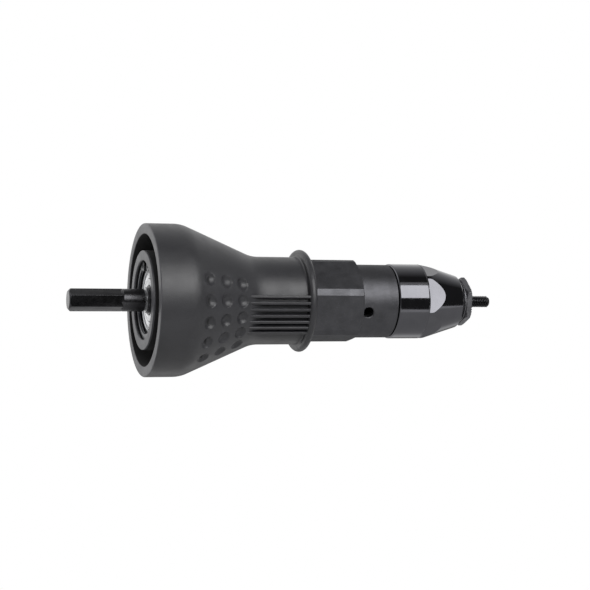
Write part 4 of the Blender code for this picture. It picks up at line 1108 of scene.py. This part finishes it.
class RIVET_OT_stage(PieceOperator):
    """Sets the floor, the lamps, the world and the camera"""
    bl_idname = "rivet.stage"
    bl_label = "Studio"

    def make(self, scene):
        self.world(scene)
        self.floor()
        self.canopy()
        self.softbox("key_softbox", 28.5, mm(810), 15.2)
        self.softbox("key_fringe", 52.0, mm(180), 0.5)
        self.camera(scene)
        scene.view_settings.view_transform = "Standard"

    def world(self, scene):
        """White to look at and in reflections; its light is dim in front, bright behind."""
        scene.world = bpy.data.worlds.new("white_studio")
        tree = cleared(scene.world)
        ahead = axes(node(tree, "TexCoord").outputs["Generated"])["Y"]
        rays = node(tree, "LightPath").outputs
        view = reckon("MINIMUM", sum_of(rays["Is Camera Ray"], rays["Is Glossy Ray"],
                                        rays["Is Transmission Ray"]), 1.0)
        lit = times(spread(ahead, -0.1, 0.5, 0.05, 0.5), spread(view, 0.0, 1.0, 1.0, 0.0))
        glow = node(tree, "Background", {"Color": WHITE, "Strength": sum_of(lit, view)})
        node(tree, "OutputWorld", {"Surface": glow.outputs[0]})

    def floor(self):
        """The white table, which the camera and reflections see brighter than it is lit."""
        floor = added("studio_floor", bpy.ops.mesh.primitive_plane_add, size=1,
                      location=(0.1, 0.03, mm(-250)))
        floor.scale = (2.6, 0.85, 1.0)
        bpy.ops.object.transform_apply()
        made = bpy.data.materials.new("white_table")
        tree = cleared(made)
        board = node(tree, "BsdfDiffuse", {"Color": (*linear("#e4e4e4"), 1.0)})
        rays = node(tree, "LightPath").outputs
        # Reflections see the table brightest a little behind the tool
        ahead = axes(node(tree, "TexCoord").outputs["Object"])["Y"]
        seen = times(spread(ahead, 0.1, 0.22, 0.58, 1.0), spread(ahead, 0.26, 0.42, 1.0, 0.35))
        glow = node(tree, "Emission", {
            "Color": WHITE, "Strength": between(rays["Is Camera Ray"], seen, 1.0)})
        share = sum_of(times(rays["Is Camera Ray"], 0.93), times(rays["Is Glossy Ray"], 0.85),
                       times(rays["Is Transmission Ray"], 0.85))
        both = node(tree, "MixShader", {0: share, 1: board.outputs[0], 2: glow.outputs[0]})
        node(tree, "OutputMaterial", {"Surface": both.outputs[0]})
        floor.data.materials.append(made)

    def canopy(self):
        """The room round the tool, which only reflections see: dark in front, bright behind."""
        room = added("studio_room", bpy.ops.mesh.primitive_uv_sphere_add, segments=96,
                     ring_count=48, radius=3.0)

        def is_below(face):
            """Whether a face lies where the table is seen instead of the room."""
            y, z = face.center.yz
            return -152.0 < math.degrees(math.atan2(z, -y)) < -24.0

        edit_chosen(room, room.data.polygons, is_below, "delete", {"type": "FACE"})
        made = bpy.data.materials.new("studio_room")
        tree = cleared(made)
        x, y, z = axes(node(tree, "TexCoord").outputs["Object"])
        rise = reckon("ARCTAN2", z, times(y, -1.0))
        above = spread(rise, math.radians(80), math.radians(145), 0.06, 0.95)
        behind = spread(rise, math.radians(-175), math.radians(-160), 0.1, 0.25)
        below = reckon("LESS_THAN", rise, math.radians(-100))
        # Behind the tool its left side is white and lights the hood's rim
        left = times(spread(x, -1.0, 0.2, 1.0, 0.0), spread(y, -1.2, 0.6, 0.1, 1.0))
        level = between(left, between(below, above, behind), 1.15)
        glow = node(tree, "Emission", {"Color": WHITE, "Strength": level})
        node(tree, "OutputMaterial", {"Surface": glow.outputs[0]})
        room.data.materials.append(made)
        for rays in ("camera", "diffuse", "transmission", "shadow"):
            setattr(room, f"visible_{rays}", False)

    def softbox(self, name, elevation, height, watts):
        """A rectangular lamp that faces the tool's middle, a little right of its front."""
        turn, rise = math.radians(12.0), math.radians(elevation)
        away = Vector((math.sin(turn) * math.cos(rise), -math.cos(turn) * math.cos(rise),
                       math.sin(rise)))
        lamp = added(name, bpy.ops.object.light_add, type="AREA",
                     location=(CAD_BOX[0] + CAD_BOX[1]) / 2 + away * mm(1200))
        lamp.rotation_mode = "QUATERNION"
        lamp.rotation_quaternion = away.to_track_quat("Z", "Y")
        lamp.data.shape = "RECTANGLE"
        lamp.data.size, lamp.data.size_y = mm(1480), height
        lamp.data.energy = watts

    def camera(self, scene):
        """The camera as fitted to the photograph."""
        camera = added("photo_camera", bpy.ops.object.camera_add,
                       location=(mm(-148.29), mm(-811.06), mm(3.0)))
        ahead, roll = Vector((0.31234, 0.94997, 0)), Quaternion((0, 0, 1), 0.0055)
        camera.rotation_mode = "QUATERNION"
        camera.rotation_quaternion = ahead.to_track_quat("-Z", "Y") @ roll
        camera.data.sensor_width = 36.0
        camera.data.lens = 100.68
        camera.data.clip_start = 0.01
        scene.camera = camera


class RIVET_PT_panel(bpy.types.Panel):
    """Lists the tool's pieces"""
    bl_idname = "RIVET_PT_panel"
    bl_label = "Rivet nut tool"
    bl_space_type = "VIEW_3D"
    bl_region_type = "UI"
    bl_category = "Rivet Tool"

    def draw(self, context):
        for kind in PIECES:
            self.layout.operator(kind.bl_idname, text=kind.bl_label)
        for name in GROUPS:
            box = self.layout.box()
            group = getattr(context.scene, name)
            for key in group.bl_rna.properties.keys():
                if key not in ("rna_type", "name"):
                    box.prop(group, key)


PIECES = (RIVET_OT_hood, RIVET_OT_circlip, RIVET_OT_housing, RIVET_OT_spindle,
          RIVET_OT_ball_bearing, RIVET_OT_thrust_bearing, RIVET_OT_puller, RIVET_OT_mandrel,
          RIVET_OT_casing, RIVET_OT_nosepiece, RIVET_OT_stage)
GROUPS = {"rivet_hood": HoodSizes, "rivet_housing": HousingSizes,
          "rivet_spindle": SpindleSizes, "rivet_bearing": BearingSizes,
          "rivet_front": FrontSizes, "rivet_colours": FinishColours}


def register():
    for kind in (*GROUPS.values(), *PIECES, RIVET_PT_panel):
        bpy.utils.register_class(kind)
    for name, kind in GROUPS.items():
        setattr(bpy.types.Scene, name, PointerProperty(type=kind))


def unregister():
    for name in GROUPS:
        delattr(bpy.types.Scene, name)
    for kind in reversed((*GROUPS.values(), *PIECES, RIVET_PT_panel)):
        bpy.utils.unregister_class(kind)


def main():
    register()
    for kind in PIECES:
        getattr(bpy.ops.rivet, kind.bl_idname.split(".")[1])()
    deselect()


if __name__ == "__main__":
    main()
